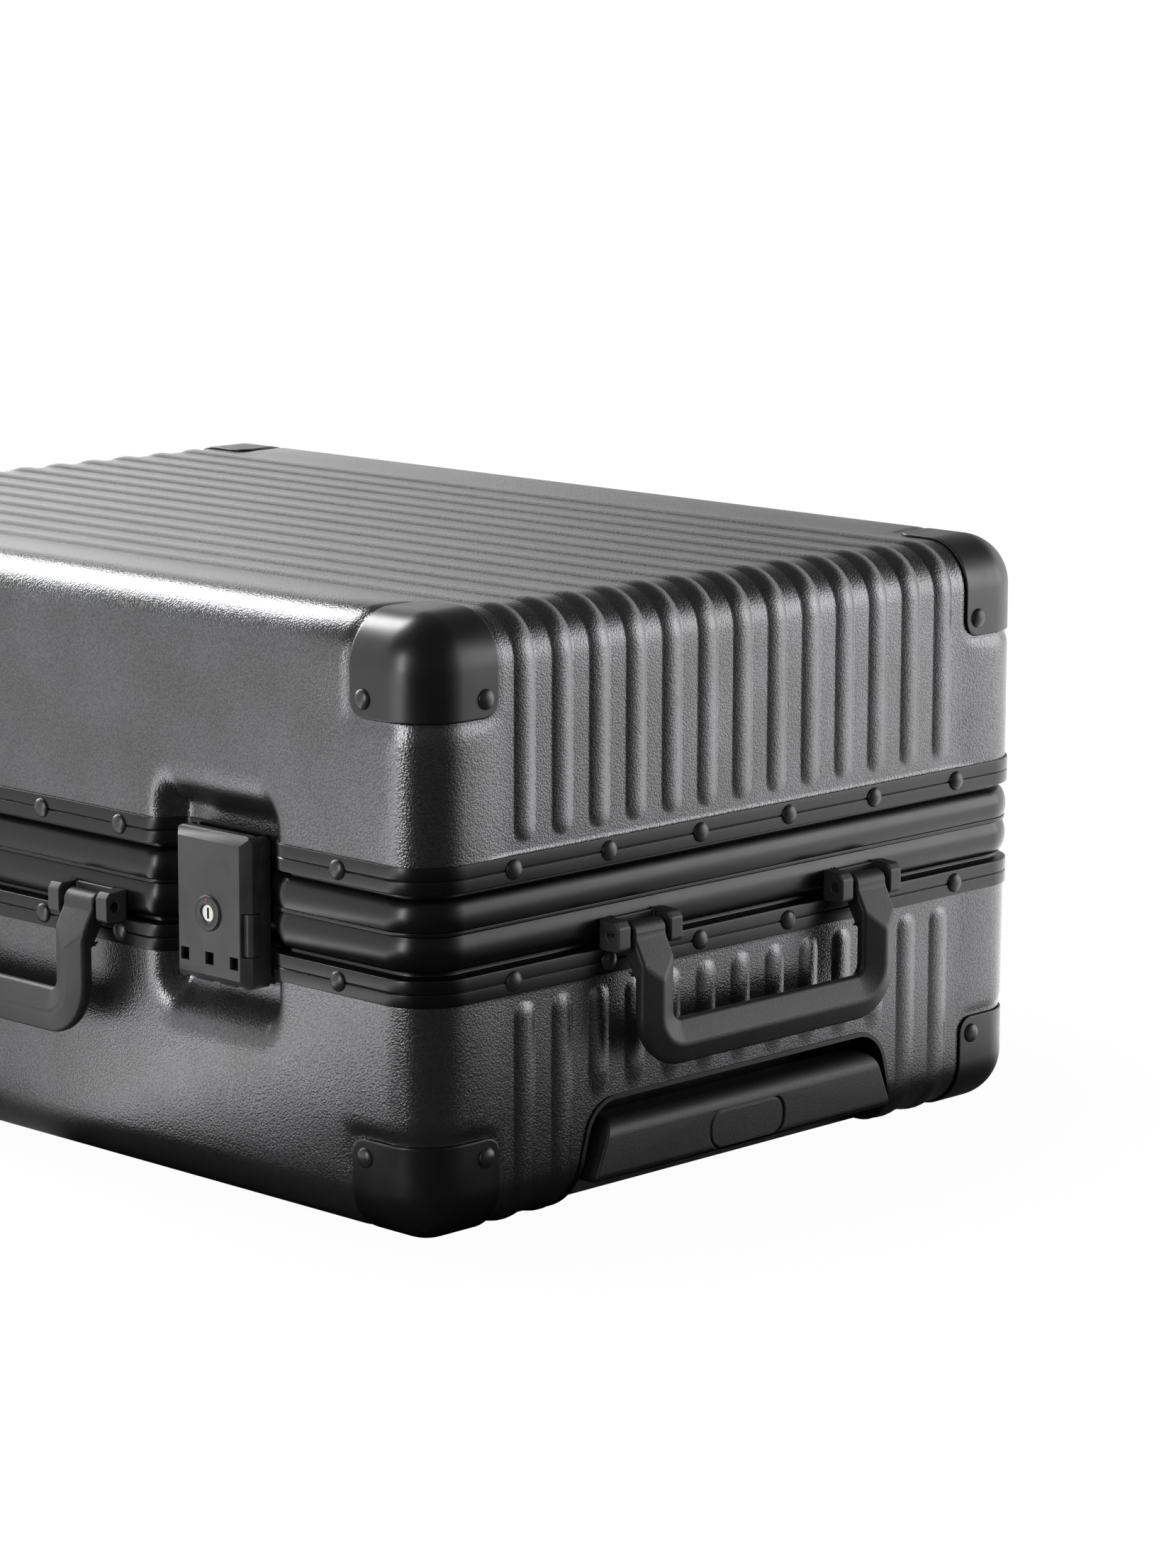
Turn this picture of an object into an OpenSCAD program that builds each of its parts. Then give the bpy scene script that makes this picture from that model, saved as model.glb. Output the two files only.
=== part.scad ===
// Hard shell suitcase on four twin casters, lying on its back shell.
// +X points to the handle end, -Y to the lock side and +Z to the front shell.
// The origin is the centre of the back face, where the case rests.

/* [Case] */
// Length of the shells, from the wheel end to the handle end
case_l = 510; // [480:1:560]
// Width of the shells, from the lock side to the hinge side
case_w = 366; // [356:1:400]
// Depth of the closed case, from the back face to the front face
case_h = 252; // [244:1:290]
// Radius of the shells' outer edges and corners
edge_r = 22; // [19:0.5:24]
// Wall thickness of the moulded shells
wall_t = 2.4; // [2.2:0.1:3]

/* [Grooves] */
// Number of grooves pressed into each shell
groove_n = 13; // [9:2:13]
// Spacing of the grooves
groove_pitch = 21.1; // [20:0.1:21.5]
// Width of one groove at the surface
groove_w = 10.5; // [9:0.1:11]
// Depth of one groove
groove_d = 2.5; // [2:0.1:2.8]
// Flat land left between a groove's tip and the part next to it
groove_gap = 4.5; // [3:0.1:7]

/* [Frame] */
// Height of the riveted strip on each half of the frame
strip_h = 11; // [10:0.1:12]
// Distance from the parting plane to the strip's near edge
strip_lo = 17; // [16.5:0.1:18]
// How far the strip stands proud of the shell
strip_proud = 1; // [0.8:0.1:1.4]
// How far the rounded bead stands proud of the shell
bead_proud = 0.6; // [0.3:0.1:0.8]
// Depth of the hollow between the strip and the bead
undercut = 4.2; // [3.5:0.1:5]
// Width of the frame's inward flange
flange_in = 8; // [7.6:0.1:8.4]
// Sheet thickness of the extruded frame
frame_t = 1.6; // [1.4:0.1:1.8]
// Clearance between pieces of one half that lie face to face
seat_gap = 0.1; // [0.05:0.01:0.15]
// Gap between the two halves of the frame when the case is shut
parting_gap = 0.4; // [0.3:0.05:0.5]

/* [Rivets] */
// Diameter of a rivet's domed head
rivet_d = 8.4; // [7:0.1:9]
// Height of a rivet's domed head
rivet_h = 1.9; // [1.5:0.1:2.2]
// Diameter of a rivet's shank
shank_d = 3.6; // [3:0.1:4]
// Spacing of the rivets along the ends
rivet_pitch = 53.9; // [50:0.1:56]
// Distance of a guard's rivets from the neighbouring faces
guard_rivet = 34; // [32:0.5:35]

/* [Corner guards] */
// Length of a guard along each of its three edges
guard_l = 41.5; // [40.5:0.5:44]
// Thickness of a guard
guard_t = 1.2; // [1:0.1:1.4]
// Radius of the rounded tabs of a guard
guard_r = 7; // [4:0.5:9]

/* [Locks] */
// Distance of each lock from the middle of the lock side
lock_x = 133; // [126:0.5:140]
// Width of a lock's cover
lock_w = 44.6; // [43:0.2:46]
// Height of a lock's cover
lock_h = 63.2; // [62:0.2:64]
// How far the lock's top edge lies above the parting plane
lock_up = 27.8; // [27.2:0.2:28.6]
// How far the cover stands proud of the shell
lock_proud = 3.4; // [3:0.1:4]
// Depth of the cover from front to back
lock_t = 13.6; // [13:0.1:13.8]
// Wall thickness of the cover
lock_wall = 1.6; // [1.3:0.1:1.8]
// Chamfer round the front of the cover
lock_chamfer = 3.8; // [2.5:0.1:4]
// Turn of the cover from shut to open, in degrees
lock_turn = 75; // [60:1:75]
// Depth of the pocket that holds a lock
pocket_d = 12; // [11.8:0.1:12.6]
// Half width of the pocket at the surface
pocket_w = 43; // [41:0.5:45]
// Height of the pocket above the parting plane
pocket_up = 53; // [50:0.5:58]
// Height of the pocket below the parting plane
pocket_down = 59; // [54:0.5:64]
// Spacing of the number dials
dial_pitch = 14.9; // [14:0.1:15.2]
// Radius of a number dial
dial_r = 5.4; // [4.8:0.1:5.4]
// Width of a number dial
dial_w = 5; // [4:0.1:6]
// Travel of the release button
release_travel = 2; // [1:0.1:2.2]

/* [Handles] */
// Distance between the middles of the carry handle's legs
carry_span = 135.4; // [128:0.2:140]
// Distance between the middles of the side handle's legs
side_span = 120.4; // [110:0.2:124]
// Height of a handle from its pin to its lower edge
handle_drop = 56.4; // [50:0.2:58]
// Width of a handle's bar and legs
bar_w = 19; // [17:0.2:20]
// Width of one ear of a handle bracket
ear_w = 7; // [6:0.2:8]
// Height of a handle bracket
ear_h = 13; // [12.4:0.2:13.4]
// Diameter of a handle's pin
pin_d = 4; // [3:0.1:4.4]

/* [Trolley] */
// Height of the trolley recess on the handle end
recess_h = 46.5; // [45:0.5:50]
// Half width of the recess at the back face
recess_w = 101; // [99:0.5:104]
// Depth of the recess from the handle end
recess_d = 26; // [25:0.5:28]
// Wall thickness of the recess lining
cup_t = 1.8; // [1.5:0.1:2.2]
// Height of the grip
grip_h = 25; // [23:0.5:26]
// Distance of the grip from the back face
grip_z = 12; // [10:0.5:13]
// Half width of the grip at its lower edge
grip_w = 91.4; // [88:0.2:92]
// Depth of the grip
grip_d = 18; // [16:0.5:18.5]
// How far the grip stands out of the recess
grip_proud = 4; // [2:0.5:5]
// Distance between the middles of the two tubes
tube_span = 124; // [110:1:130]
// Width of an outer tube
tube_w = 26; // [24:0.5:28]
// Height of an outer tube
tube_h = 14; // [13:0.5:15]
// Wall thickness of the tubes
tube_t = 1.2; // [1:0.1:1.4]
// Clearance between two telescoping tubes
tube_gap = 0.4; // [0.3:0.05:0.5]
// Travel of each telescoping stage
stage_travel = 240; // [200:5:250]
// Travel of the grip's push button
button_travel = 3; // [2:0.1:3.2]

/* [Casters] */
// Distance of a caster from the back or front face
caster_z = 44; // [43:0.5:50]
// Distance of a caster from the long side
caster_y = 48; // [45:0.5:60]
// Size of the square caster housing
housing_w = 54; // [50:0.5:58]
// Thickness of a caster housing
housing_t = 8; // [7:0.5:10]
// Radius of a wheel over its tyre
wheel_r = 22; // [19:0.5:23]
// Width of one of the twin wheels
wheel_w = 9; // [8:0.2:11]
// Thickness of the fork between the wheels
fork_t = 8; // [7:0.2:9]
// Distance of the axle behind the swivel
trail = 12; // [10:0.5:13]
// Diameter of the hub that joins the twin wheels
hub_d = 9; // [7:0.5:10]
// Thickness of the rubber tyre
tyre_t = 4; // [3:0.2:5]

/* [Hinges and inside] */
// Distance of the outer hinges from the middle of the hinge side
hinge_x = 150; // [130:1:170]
// Length of one hinge
hinge_l = 44; // [40:1:50]
// Distance of the hinge axis outside the shell
hinge_out = 5.2; // [5.1:0.1:6]
// Radius of a hinge knuckle
knuckle_r = 3; // [2.6:0.1:3.2]
// Thickness of the fabric lining
lining_t = 1.2; // [1:0.1:1.6]
// Width of a packing strap
strap_w = 25; // [20:1:30]

/* [Hidden] */
$fn = 48;

half_l = case_l / 2;
half_w = case_w / 2;
mid_z = case_h / 2;
// the shells end inside the frame, just past the strip's near edge
rim = mid_z - strip_lo - frame_t / 2;
strip_mid = strip_lo + strip_h / 2;

// ---------- helpers ----------

function arc(c, r, a0, a1, n) =
    [for (i = [0:n]) let (a = a0 + (a1 - a0) * i / n) [c[0] + r * cos(a), c[1] + r * sin(a)]];

module both(axis) {
    children();
    mirror(axis) children();
}

// turns a piece of the back half into the same piece of the front half
module to_front() translate([0, 0, case_h]) mirror([0, 0, 1]) children();

module rounded_rect(w, h, r) {
    square([w - 2 * r, h], center = true);
    square([w, h - 2 * r], center = true);
    for (x = [-1, 1], y = [-1, 1]) translate([x * (w / 2 - r), y * (h / 2 - r)]) circle(r);
}

// quarter of a rounded edge with a straight wall above it
module edge_profile(r, h) {
    intersection() {
        translate([0, r]) circle(r);
        square(r);
    }
    translate([0, r]) square([r, h - r]);
}

// block with its lower edges and its upright edges rounded
module tray(l, w, h, r) {
    for (x = [0, 1], y = [0, 1])
        mirror([x, 0, 0]) mirror([0, y, 0])
            translate([l / 2 - r, w / 2 - r, 0]) rotate_extrude(angle = 90) edge_profile(r, h);
    both([1, 0, 0])
        translate([l / 2 - r, w / 2 - r, 0]) rotate([90, 0, 0]) linear_extrude(w - 2 * r)
            edge_profile(r, h);
    both([0, 1, 0])
        translate([-l / 2 + r, w / 2 - r, 0]) rotate([90, 0, 90]) linear_extrude(l - 2 * r)
            edge_profile(r, h);
    translate([r - l / 2, r - w / 2, 0]) cube([l - 2 * r, w - 2 * r, h]);
}

// ---------- grooves ----------

groove_r = (groove_w * groove_w / 4 + groove_d * groove_d) / (2 * groove_d);
groove_c = groove_r - groove_d;
groove_top = mid_z - strip_lo - strip_h - groove_gap - groove_w / 2;
recess_x = half_l - recess_d;

function groove_y(i) = (i - (groove_n - 1) / 2) * groove_pitch;
function over_recess(y) = abs(y) < recess_w;
function over_caster(y) = abs(y) + groove_w / 2 + 1 > half_w - caster_y - housing_w / 2;

// stretch of groove down one end, from its rounded tip to the back face
module groove_down(r, bottom) {
    translate([half_l + groove_c, 0, bottom]) cylinder(r = r, h = groove_top - bottom);
    translate([half_l + groove_c, 0, groove_top]) sphere(r);
}

module groove_bend(r)
    translate([half_l - edge_r, 0, edge_r]) rotate([90, 0, 0]) rotate([0, 0, -90])
        rotate_extrude(angle = 90) translate([edge_r + groove_c, 0]) circle(r);

module groove_end(r, y, plus, recess) {
    if (plus && recess && over_recess(y)) {
        translate([recess_x - groove_gap - groove_w / 2, 0, -groove_c]) sphere(r);
        translate([0, 0, -groove_c]) rotate([0, 90, 0])
            cylinder(r = r, h = recess_x - groove_gap - groove_w / 2);
        groove_down(r, recess_h + groove_gap + groove_w / 2);
        translate([half_l + groove_c, 0, recess_h + groove_gap + groove_w / 2]) sphere(r);
    } else {
        translate([0, 0, -groove_c]) rotate([0, 90, 0]) cylinder(r = r, h = half_l - edge_r);
        if (plus || !over_caster(y)) {
            groove_bend(r);
            groove_down(r, edge_r);
        } else {
            translate([half_l - edge_r, 0, -groove_c]) sphere(r);
        }
    }
}

// all grooves of one half; grow is the distance outside the groove's surface
module grooves(grow, recess)
    for (i = [0:groove_n - 1]) translate([0, groove_y(i), 0]) {
        groove_end(groove_r + grow, groove_y(i), true, recess);
        mirror([1, 0, 0]) groove_end(groove_r + grow, groove_y(i), false, recess);
    }

// ---------- lock pockets ----------

bend_a = atan(4 / 3);
bend_out = 11;
bend_in = 4.5;
bend_flat = (pocket_d - (bend_out + bend_in) * (1 - cos(bend_a))) / sin(bend_a);
floor_w = pocket_w - (bend_out + bend_in) * sin(bend_a) - bend_flat * cos(bend_a);
slope_l = 19;

// half of the pocket's plan, in the plane of length and outward distance
function pocket_half(grow) = concat(
    arc([pocket_w, -bend_out], bend_out - grow, 90, 90 + bend_a, 5),
    arc([floor_w, bend_in - pocket_d], bend_in + grow, bend_a - 90, -90, 4));

function mirrored(p) = [for (q = p) [-q[0], q[1]]];
function reversed(p) = [for (i = [len(p) - 1:-1:0]) p[i]];

slope_len = norm([pocket_d, slope_l]);
function slope_z(y, reach, grow) = (y * slope_l - grow * slope_len) / pocket_d - reach;

// cutter for one pocket: its plan and its two slopes
module pocket(grow, reach) {
    top = 5;
    deep = pocket_d + grow;
    side = pocket_w + grow + 1;
    intersection() {
        translate([0, -half_w, 0]) mirror([0, 1, 0]) linear_extrude(mid_z + 1)
            polygon(concat([[side, top], [side, -grow]], pocket_half(grow),
                reversed(mirrored(pocket_half(grow))), [[-side, -grow], [-side, top]]));
        translate([-case_l / 4, -half_w, mid_z]) rotate([90, 0, 90]) linear_extrude(case_l / 2)
            polygon([[-top, 1], [deep, 1], [deep, slope_z(deep, reach, grow)],
                [-top, slope_z(-top, reach, grow)]]);
    }
}

module pockets(grow, reach) both([1, 0, 0]) translate([lock_x, 0, 0]) pocket(grow, reach);

// ---------- trolley recess ----------

slant = 15;
recess_r = 18;
recess_cz = recess_h - recess_r;
recess_cy = recess_w - recess_cz * tan(slant) - recess_r / cos(slant);

// half of the recess outline, seen from the handle end
function recess_half(inset, low) = concat(
    [[recess_w - inset / cos(slant) - low * tan(slant), low]],
    arc([recess_cy, recess_cz], recess_r - inset, slant, 90, 8));

module recess_shape(inset, low)
    polygon(concat(recess_half(inset, low), reversed(mirrored(recess_half(inset, low)))));

module recess_block(inset, low, x0, x1)
    translate([x0, 0, 0]) rotate([90, 0, 90]) linear_extrude(x1 - x0) recess_shape(inset, low);

// ---------- corner guards ----------

// square tab with one rounded corner at the origin
module tab(size, r) {
    translate([r, 0]) square([size - r, size]);
    translate([0, r]) square([r, size - r]);
    translate([r, r]) circle(r);
}

// space of one corner guard; its inner corner has the guard's rounded edges
module guard_zone(grow) {
    size = guard_l + grow + 3;
    translate([half_l - guard_l - grow, half_w - guard_l - grow, guard_l + grow])
        mirror([0, 0, 1]) intersection() {
            linear_extrude(size) tab(size, guard_r);
            rotate([90, 0, 90]) linear_extrude(size) tab(size, guard_r);
            mirror([0, 1, 0]) rotate([90, 0, 0]) linear_extrude(size) tab(size, guard_r);
        }
}

// the rounded corner of the case, drawn inset from the surface
module corner_block(inset) {
    size = 2 * guard_l + 20;
    translate([half_l - size / 2, half_w - size / 2, inset])
        tray(size - 2 * inset, size - 2 * inset, size, edge_r - inset);
}

module guard_seat() difference() {
    guard_zone(seat_gap);
    corner_block(guard_t + seat_gap);
}

module corners() for (x = [0, 1], y = [0, 1]) {
    $wheel_end = x == 1;
    mirror([x, 0, 0]) mirror([0, y, 0]) children();
}

// ---------- rivets ----------

lock_side_rivets = [25, lock_x - pocket_w - 15, lock_x + pocket_w + 31];
hinge_side_rivets = [hinge_x / 2, hinge_x + 65];
leaf_t = 1.6;
leaf_rivets = [for (x = [-hinge_x, 0, hinge_x], d = [-1, 1]) x + d * (hinge_l / 2 - 9)];
strip_stack = strip_proud + wall_t + seat_gap + frame_t;

// places of the frame rivets on the back half: side angle, distance to it, place along it
function end_spots(a) = [for (i = [0:5]) [a, half_l, (i - 2.5) * rivet_pitch]];
function side_spots(a, list) = [for (x = list, s = [-1, 1]) [a, half_w, s * x]];
plain_spots = concat(end_spots(0), end_spots(180), side_spots(-90, lock_side_rivets),
    side_spots(90, hinge_side_rivets));
leaf_spots = [for (x = leaf_rivets) [90, half_w, x]];

module at_spot(p, out)
    rotate([0, 0, p[0]]) translate([p[1] + out, p[2], mid_z - strip_mid]) children();

// domed rivet lying along X with its head's seat at the origin
module rivet(grip) {
    dome = (rivet_d * rivet_d / 4 + rivet_h * rivet_h) / (2 * rivet_h);
    edge = asin(rivet_d / 2 / dome);
    rotate([0, 90, 0]) rotate_extrude() polygon(concat(
        arc([0, rivet_h - dome], dome, 90 - edge, 90, 5),
        [[0, -grip - 0.8], [shank_d / 2 + 1.2, -grip - 0.8], [shank_d / 2 + 1.2, -grip],
         [shank_d / 2, -grip], [shank_d / 2, 0]]));
}

// flat rivet let into the guard, its head flush with the back face
module flat_rivet() {
    translate([0, 0, 0.05]) cylinder(d = rivet_d, h = guard_t / 2);
    cylinder(d = shank_d, h = wall_t);
    translate([0, 0, wall_t]) cylinder(d = shank_d + 2.4, h = 0.8);
}

// rivets of one guard; at the wheel end the caster housing holds the end face
module guard_spots(wheel_end) {
    if (!wheel_end) translate([half_l, half_w - guard_rivet, guard_rivet]) children();
    translate([half_l - guard_rivet, half_w, guard_rivet]) rotate([0, 0, 90]) children();
}

module shank_hole() rotate([0, 90, 0]) translate([0, 0, -8]) cylinder(d = shank_d + 0.2, h = 12);

module guard_holes(wheel_end) {
    guard_spots(wheel_end) shank_hole();
    translate([half_l - guard_rivet, half_w - guard_rivet, -1])
        cylinder(d = shank_d + 0.2, h = wall_t + 5);
}

module rivets() {
    for (p = plain_spots) at_spot(p, strip_proud) rivet(strip_stack);
    for (p = leaf_spots) at_spot(p, strip_proud + leaf_t + seat_gap)
        rivet(strip_stack + leaf_t + seat_gap);
    corners() {
        guard_spots($wheel_end) rivet(wall_t);
        translate([half_l - guard_rivet, half_w - guard_rivet, 0]) flat_rivet();
    }
}

// ---------- shells ----------

module half_shell(recess, reach) difference() {
    tray(case_l, case_w, rim, edge_r);
    grooves(0, recess);
    pockets(0, reach);
    corners() {
        guard_seat();
        guard_holes($wheel_end);
    }
    for (p = concat(plain_spots, leaf_spots)) at_spot(p, 0) shank_hole();
    if (recess) recess_block(0, -5, recess_x, half_l + 5);
    difference() {
        translate([0, 0, wall_t])
            tray(case_l - 2 * wall_t, case_w - 2 * wall_t, rim, edge_r - wall_t);
        grooves(wall_t, recess);
        pockets(wall_t, reach);
    }
}

module back_shell() color("dimgray") half_shell(true, pocket_down);
module front_shell() color("dimgray") to_front() half_shell(false, pocket_up);

module guards() corners() difference() {
    intersection() {
        guard_zone(0);
        difference() {
            corner_block(0);
            corner_block(guard_t);
        }
    }
    guard_holes($wheel_end);
    translate([half_l - guard_rivet, half_w - guard_rivet, -1])
        cylinder(d = rivet_d + 0.3, h = 1.1 + guard_t / 2);
}

module back_corner_guards() color("black") guards();
module front_corner_guards() color("black") to_front() guards();
module back_rivets() color("black") rivets();
module front_rivets() color("black") to_front() rivets();

// ---------- frame ----------

// a straight stretch along one side; angle is the outward direction, and the stretch
// laps a hair into its neighbours so that they fuse
lap = 0.001;
module run(x, y, angle, length)
    translate([x, y, 0]) rotate([90, 0, angle]) translate([0, 0, -lap])
        linear_extrude(length + 2 * lap) children();

// a bend that turns round a point inside the case
module turn(x, y, r, start, sweep)
    translate([x, y, 0]) rotate([0, 0, start]) rotate_extrude(angle = sweep)
        translate([r, 0]) children();

// a bend that turns round a point outside the case
module turn_in(x, y, r, start, sweep)
    translate([x, y, 0]) rotate([0, 0, start]) rotate_extrude(angle = sweep)
        translate([r, 0]) mirror([1, 0]) children();

// sweeps a section round the case; its x runs outwards from the shell's surface
module ring() {
    long = case_l - 2 * edge_r;
    wide = case_w - 2 * edge_r;
    run(half_l, wide / 2, 0, wide) children();
    run(-half_l, -wide / 2, 180, wide) children();
    run(-long / 2, half_w, 90, long) children();
    for (q = [[1, 1, 0], [-1, 1, 90], [-1, -1, 180], [1, -1, 270]])
        turn(q[0] * long / 2, q[1] * wide / 2, edge_r, q[2], 90) children();
    run(lock_x - pocket_w, -half_w, -90, 2 * (lock_x - pocket_w)) children();
    both([1, 0, 0]) {
        run(long / 2, -half_w, -90, long / 2 - lock_x - pocket_w) children();
        run(lock_x + floor_w, pocket_d - half_w, -90, 2 * floor_w) children();
        translate([lock_x, -half_w, 0]) both([1, 0, 0]) {
            turn(pocket_w, bend_out, bend_out, -90 - bend_a, bend_a) children();
            run(pocket_w - bend_out * sin(bend_a), bend_out * (1 - cos(bend_a)), -90 - bend_a,
                bend_flat) children();
            turn_in(floor_w, pocket_d - bend_in, bend_in, 90 - bend_a, bend_a) children();
        }
    }
}

bead_top = strip_lo - 2.1;
bead_mid = bead_top * 0.436;
face = parting_gap / 2;
gasket_h = 1.4;

function bead(t, a0, a1, n) = [for (i = [0:n]) let (a = a0 + (a1 - a0) * i / n)
    [-undercut + (undercut + bead_proud - t) * cos(a), bead_mid + (bead_top - bead_mid - t) * sin(a)]];
function bead_angle(t, h) = asin((h - bead_mid) / (bead_top - bead_mid - t));

// section of one half of the frame: strip, undercut, bead and inward flange
module frame_section(low, edge, flange) {
    slot_in = -wall_t - seat_gap;
    top = strip_lo + strip_h;
    polygon(concat(
        [[seat_gap, top], [strip_proud, top], [strip_proud, strip_mid + 0.6],
         [strip_proud - 0.4, strip_mid], [strip_proud, strip_mid - 0.6], [strip_proud, strip_lo],
         [-undercut, strip_lo - 0.6]],
        bead(0, 90, bead_angle(0, low), 7), edge,
        [[-flange_in, flange], [-flange_in, flange + frame_t]],
        bead(frame_t, bead_angle(frame_t, flange + frame_t), 90, 4),
        [[-undercut - frame_t, bead_top - frame_t], [-undercut - frame_t, strip_lo + frame_t],
         [slot_in - frame_t, strip_lo + frame_t], [slot_in - frame_t, top - 1], [slot_in, top - 1],
         [slot_in, strip_lo + frame_t / 2 - seat_gap], [seat_gap, strip_lo + frame_t / 2 - seat_gap]]));
}

module frame_holes() for (p = concat(plain_spots, leaf_spots)) at_spot(p, 0) shank_hole();

module back_frame() color("black") difference() {
    translate([0, 0, mid_z]) mirror([0, 0, 1]) ring()
        frame_section(face + 0.7, [[-0.9, face]], face);
    frame_holes();
}

module front_frame() color("black") difference() {
    translate([0, 0, mid_z]) ring()
        frame_section(face + 1.9, [[-0.6, face + 1.8], [0.2, face + 1.6], [0.2, face + 0.3],
            [-0.1, face], [-3, face], [-3, face + gasket_h]], face + gasket_h);
    to_front() frame_holes();
}

module frame_gasket() color("#202020") translate([0, 0, mid_z - face]) ring()
    polygon([[-3.6, 0], [-3.6, 0.9], [-4.4, gasket_h + 2 * face - 0.4],
        [-6.4, gasket_h + 2 * face - 0.4], [-7.4, 0.9], [-7.4, 0]]);

// ---------- trolley ----------

tube_z = grip_z + grip_h / 2;
bar_x = half_l + grip_proud - grip_d;
tube_end = -half_l + 27;
foot_t = 6;
mid_w = tube_w - 2 * (tube_t + tube_gap);
mid_h = tube_h - 2 * (tube_t + tube_gap);
inner_w = mid_w - 2 * (tube_t + tube_gap);
inner_h = mid_h - 2 * (tube_t + tube_gap);
socket = 8;

// a pair of like tubes along X
module tube_pair(x0, x1, w, h)
    both([0, 1, 0]) translate([x0, tube_span / 2, tube_z]) rotate([90, 0, 90])
        linear_extrude(x1 - x0) difference() {
            rounded_rect(w, h, h * 0.3);
            rounded_rect(w - 2 * tube_t, h - 2 * tube_t, h * 0.3 - tube_t / 2);
        }

module trolley_outer_tubes() color("silver")
    tube_pair(tube_end, recess_x - seat_gap, tube_w, tube_h);
module trolley_middle_tubes() color("silver")
    tube_pair(tube_end + foot_t / 2, recess_x + cup_t + 1, mid_w, mid_h);
module trolley_inner_tubes() color("silver")
    tube_pair(tube_end + foot_t, bar_x + socket, inner_w, inner_h);

// side view of the case's rounded end, drawn inset from its surface
module end_profile(inset, h)
    translate([0, half_w, 0]) rotate([90, 0, 0]) linear_extrude(case_w)
        translate([half_l - edge_r, inset]) {
            edge_profile(edge_r - inset, h);
            translate([-recess_d, 0]) square([recess_d, h]);
        }

// moulded lining of the recess, open towards the handle end and the back face
module trolley_cup() color("black") difference() {
    intersection() {
        recess_block(seat_gap, 0.3, recess_x + seat_gap, half_l);
        end_profile(0.3, recess_h);
    }
    recess_block(seat_gap + cup_t, -5, recess_x + seat_gap + cup_t, half_l + 5);
    both([0, 1, 0]) translate([recess_x - 1, tube_span / 2, tube_z]) rotate([90, 0, 90])
        linear_extrude(cup_t + 3)
            rounded_rect(mid_w + 2 * tube_gap, mid_h + 2 * tube_gap, mid_h * 0.3);
}

// cross-piece that ties the outer tubes to the floor of the shell
foot_half = (tube_span + tube_w) / 2 + 4;
foot_top = tube_z + tube_h / 2 + 2;
foot_low = wall_t + groove_d + 0.2;

module trolley_foot() color("black") difference() {
    translate([tube_end - foot_t, -foot_half, foot_low])
        cube([foot_t * 3, 2 * foot_half, foot_top - foot_low]);
    both([0, 1, 0]) translate([tube_end - seat_gap, tube_span / 2, tube_z]) rotate([90, 0, 90])
        linear_extrude(foot_t * 3)
            rounded_rect(tube_w + 2 * seat_gap, tube_h + 2 * seat_gap, tube_h * 0.3);
    translate([tube_end + foot_t, tube_w - foot_half + 8, foot_low - 1])
        cube([foot_t * 2, 2 * (foot_half - tube_w - 8), foot_top]);
}

grip_r = 7;
button_w = 45;
button_h = 16;
button_z = grip_z + 9.7;
button_d = 6;

module button_outline(grow)
    rounded_rect(button_w + 2 * grow, button_h + 2 * grow, button_h / 2 + grow - 1.2);

grip_slant = 22;

// centre of a corner of radius r at height z, against the grip's slanted side
function grip_corner(r, z) =
    [grip_w - (r + (z - grip_z) * sin(grip_slant)) / cos(grip_slant), z];
grip_half = concat(arc(grip_corner(2, grip_z + 2), 2, -90, grip_slant, 3),
    arc(grip_corner(6, grip_z + grip_h - 6), 6, grip_slant, 90, 5));

module trolley_grip() color("#242424") difference() {
    intersection() {
        translate([bar_x, 0, 0]) rotate([90, 0, 90]) linear_extrude(grip_d)
            polygon(concat(grip_half, reversed(mirrored(grip_half))));
        translate([bar_x, grip_w, grip_z]) rotate([90, 0, 0]) linear_extrude(2 * grip_w)
            polygon(concat([[0, 3], [3, 0]], arc([grip_d - 4, 4], 4, -90, 0, 4),
                arc([grip_d - grip_r, grip_h - grip_r], grip_r, 0, 90, 6),
                [[2, grip_h], [0, grip_h - 2]]));
    }
    both([0, 1, 0]) translate([bar_x - 1, tube_span / 2, tube_z]) rotate([90, 0, 90])
        linear_extrude(socket + 1.1)
            rounded_rect(inner_w + 0.1, inner_h + 0.1, inner_h * 0.3);
    translate([bar_x + grip_d - button_d - button_travel - 0.4, 0, button_z])
        rotate([90, 0, 90]) linear_extrude(grip_d) button_outline(0.3);
}

module trolley_button() color("#303030")
    translate([bar_x + grip_d - button_d, 0, button_z]) rotate([90, 0, 90]) {
        linear_extrude(button_d - 0.8) button_outline(0);
        translate([0, 0, button_d - 0.8]) linear_extrude(0.6) button_outline(-0.6);
    }

// ---------- handles ----------

pin_out = 7.2;
pin_z = mid_z - 11;
barrel_r = 4.6;
plate_t = 1.3;
plate_out = bead_proud + 0.2;
ear_out = 12;
ear_gap = 2.3;
// the bar's section: distance out from the shell against distance from the inner edge
bar_back = 10.5;
bar_mid = 16;
bar_front = 20.5;
inner_r = 4;

module ear() linear_extrude(ear_w)
    polygon([[plate_out, 1 - ear_h / 2], [plate_out + 1, -ear_h / 2],
        [ear_out - 1.2, -ear_h / 2], [ear_out, 1.2 - ear_h / 2], [ear_out, ear_h / 2 - 3],
        [ear_out - 2, ear_h / 2 - 0.4], [plate_out, ear_h / 2]]);

module pin_line(d, l) translate([pin_out, 0, pin_z]) rotate([90, 0, 0])
    cylinder(d = d, h = l, center = true);

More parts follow.
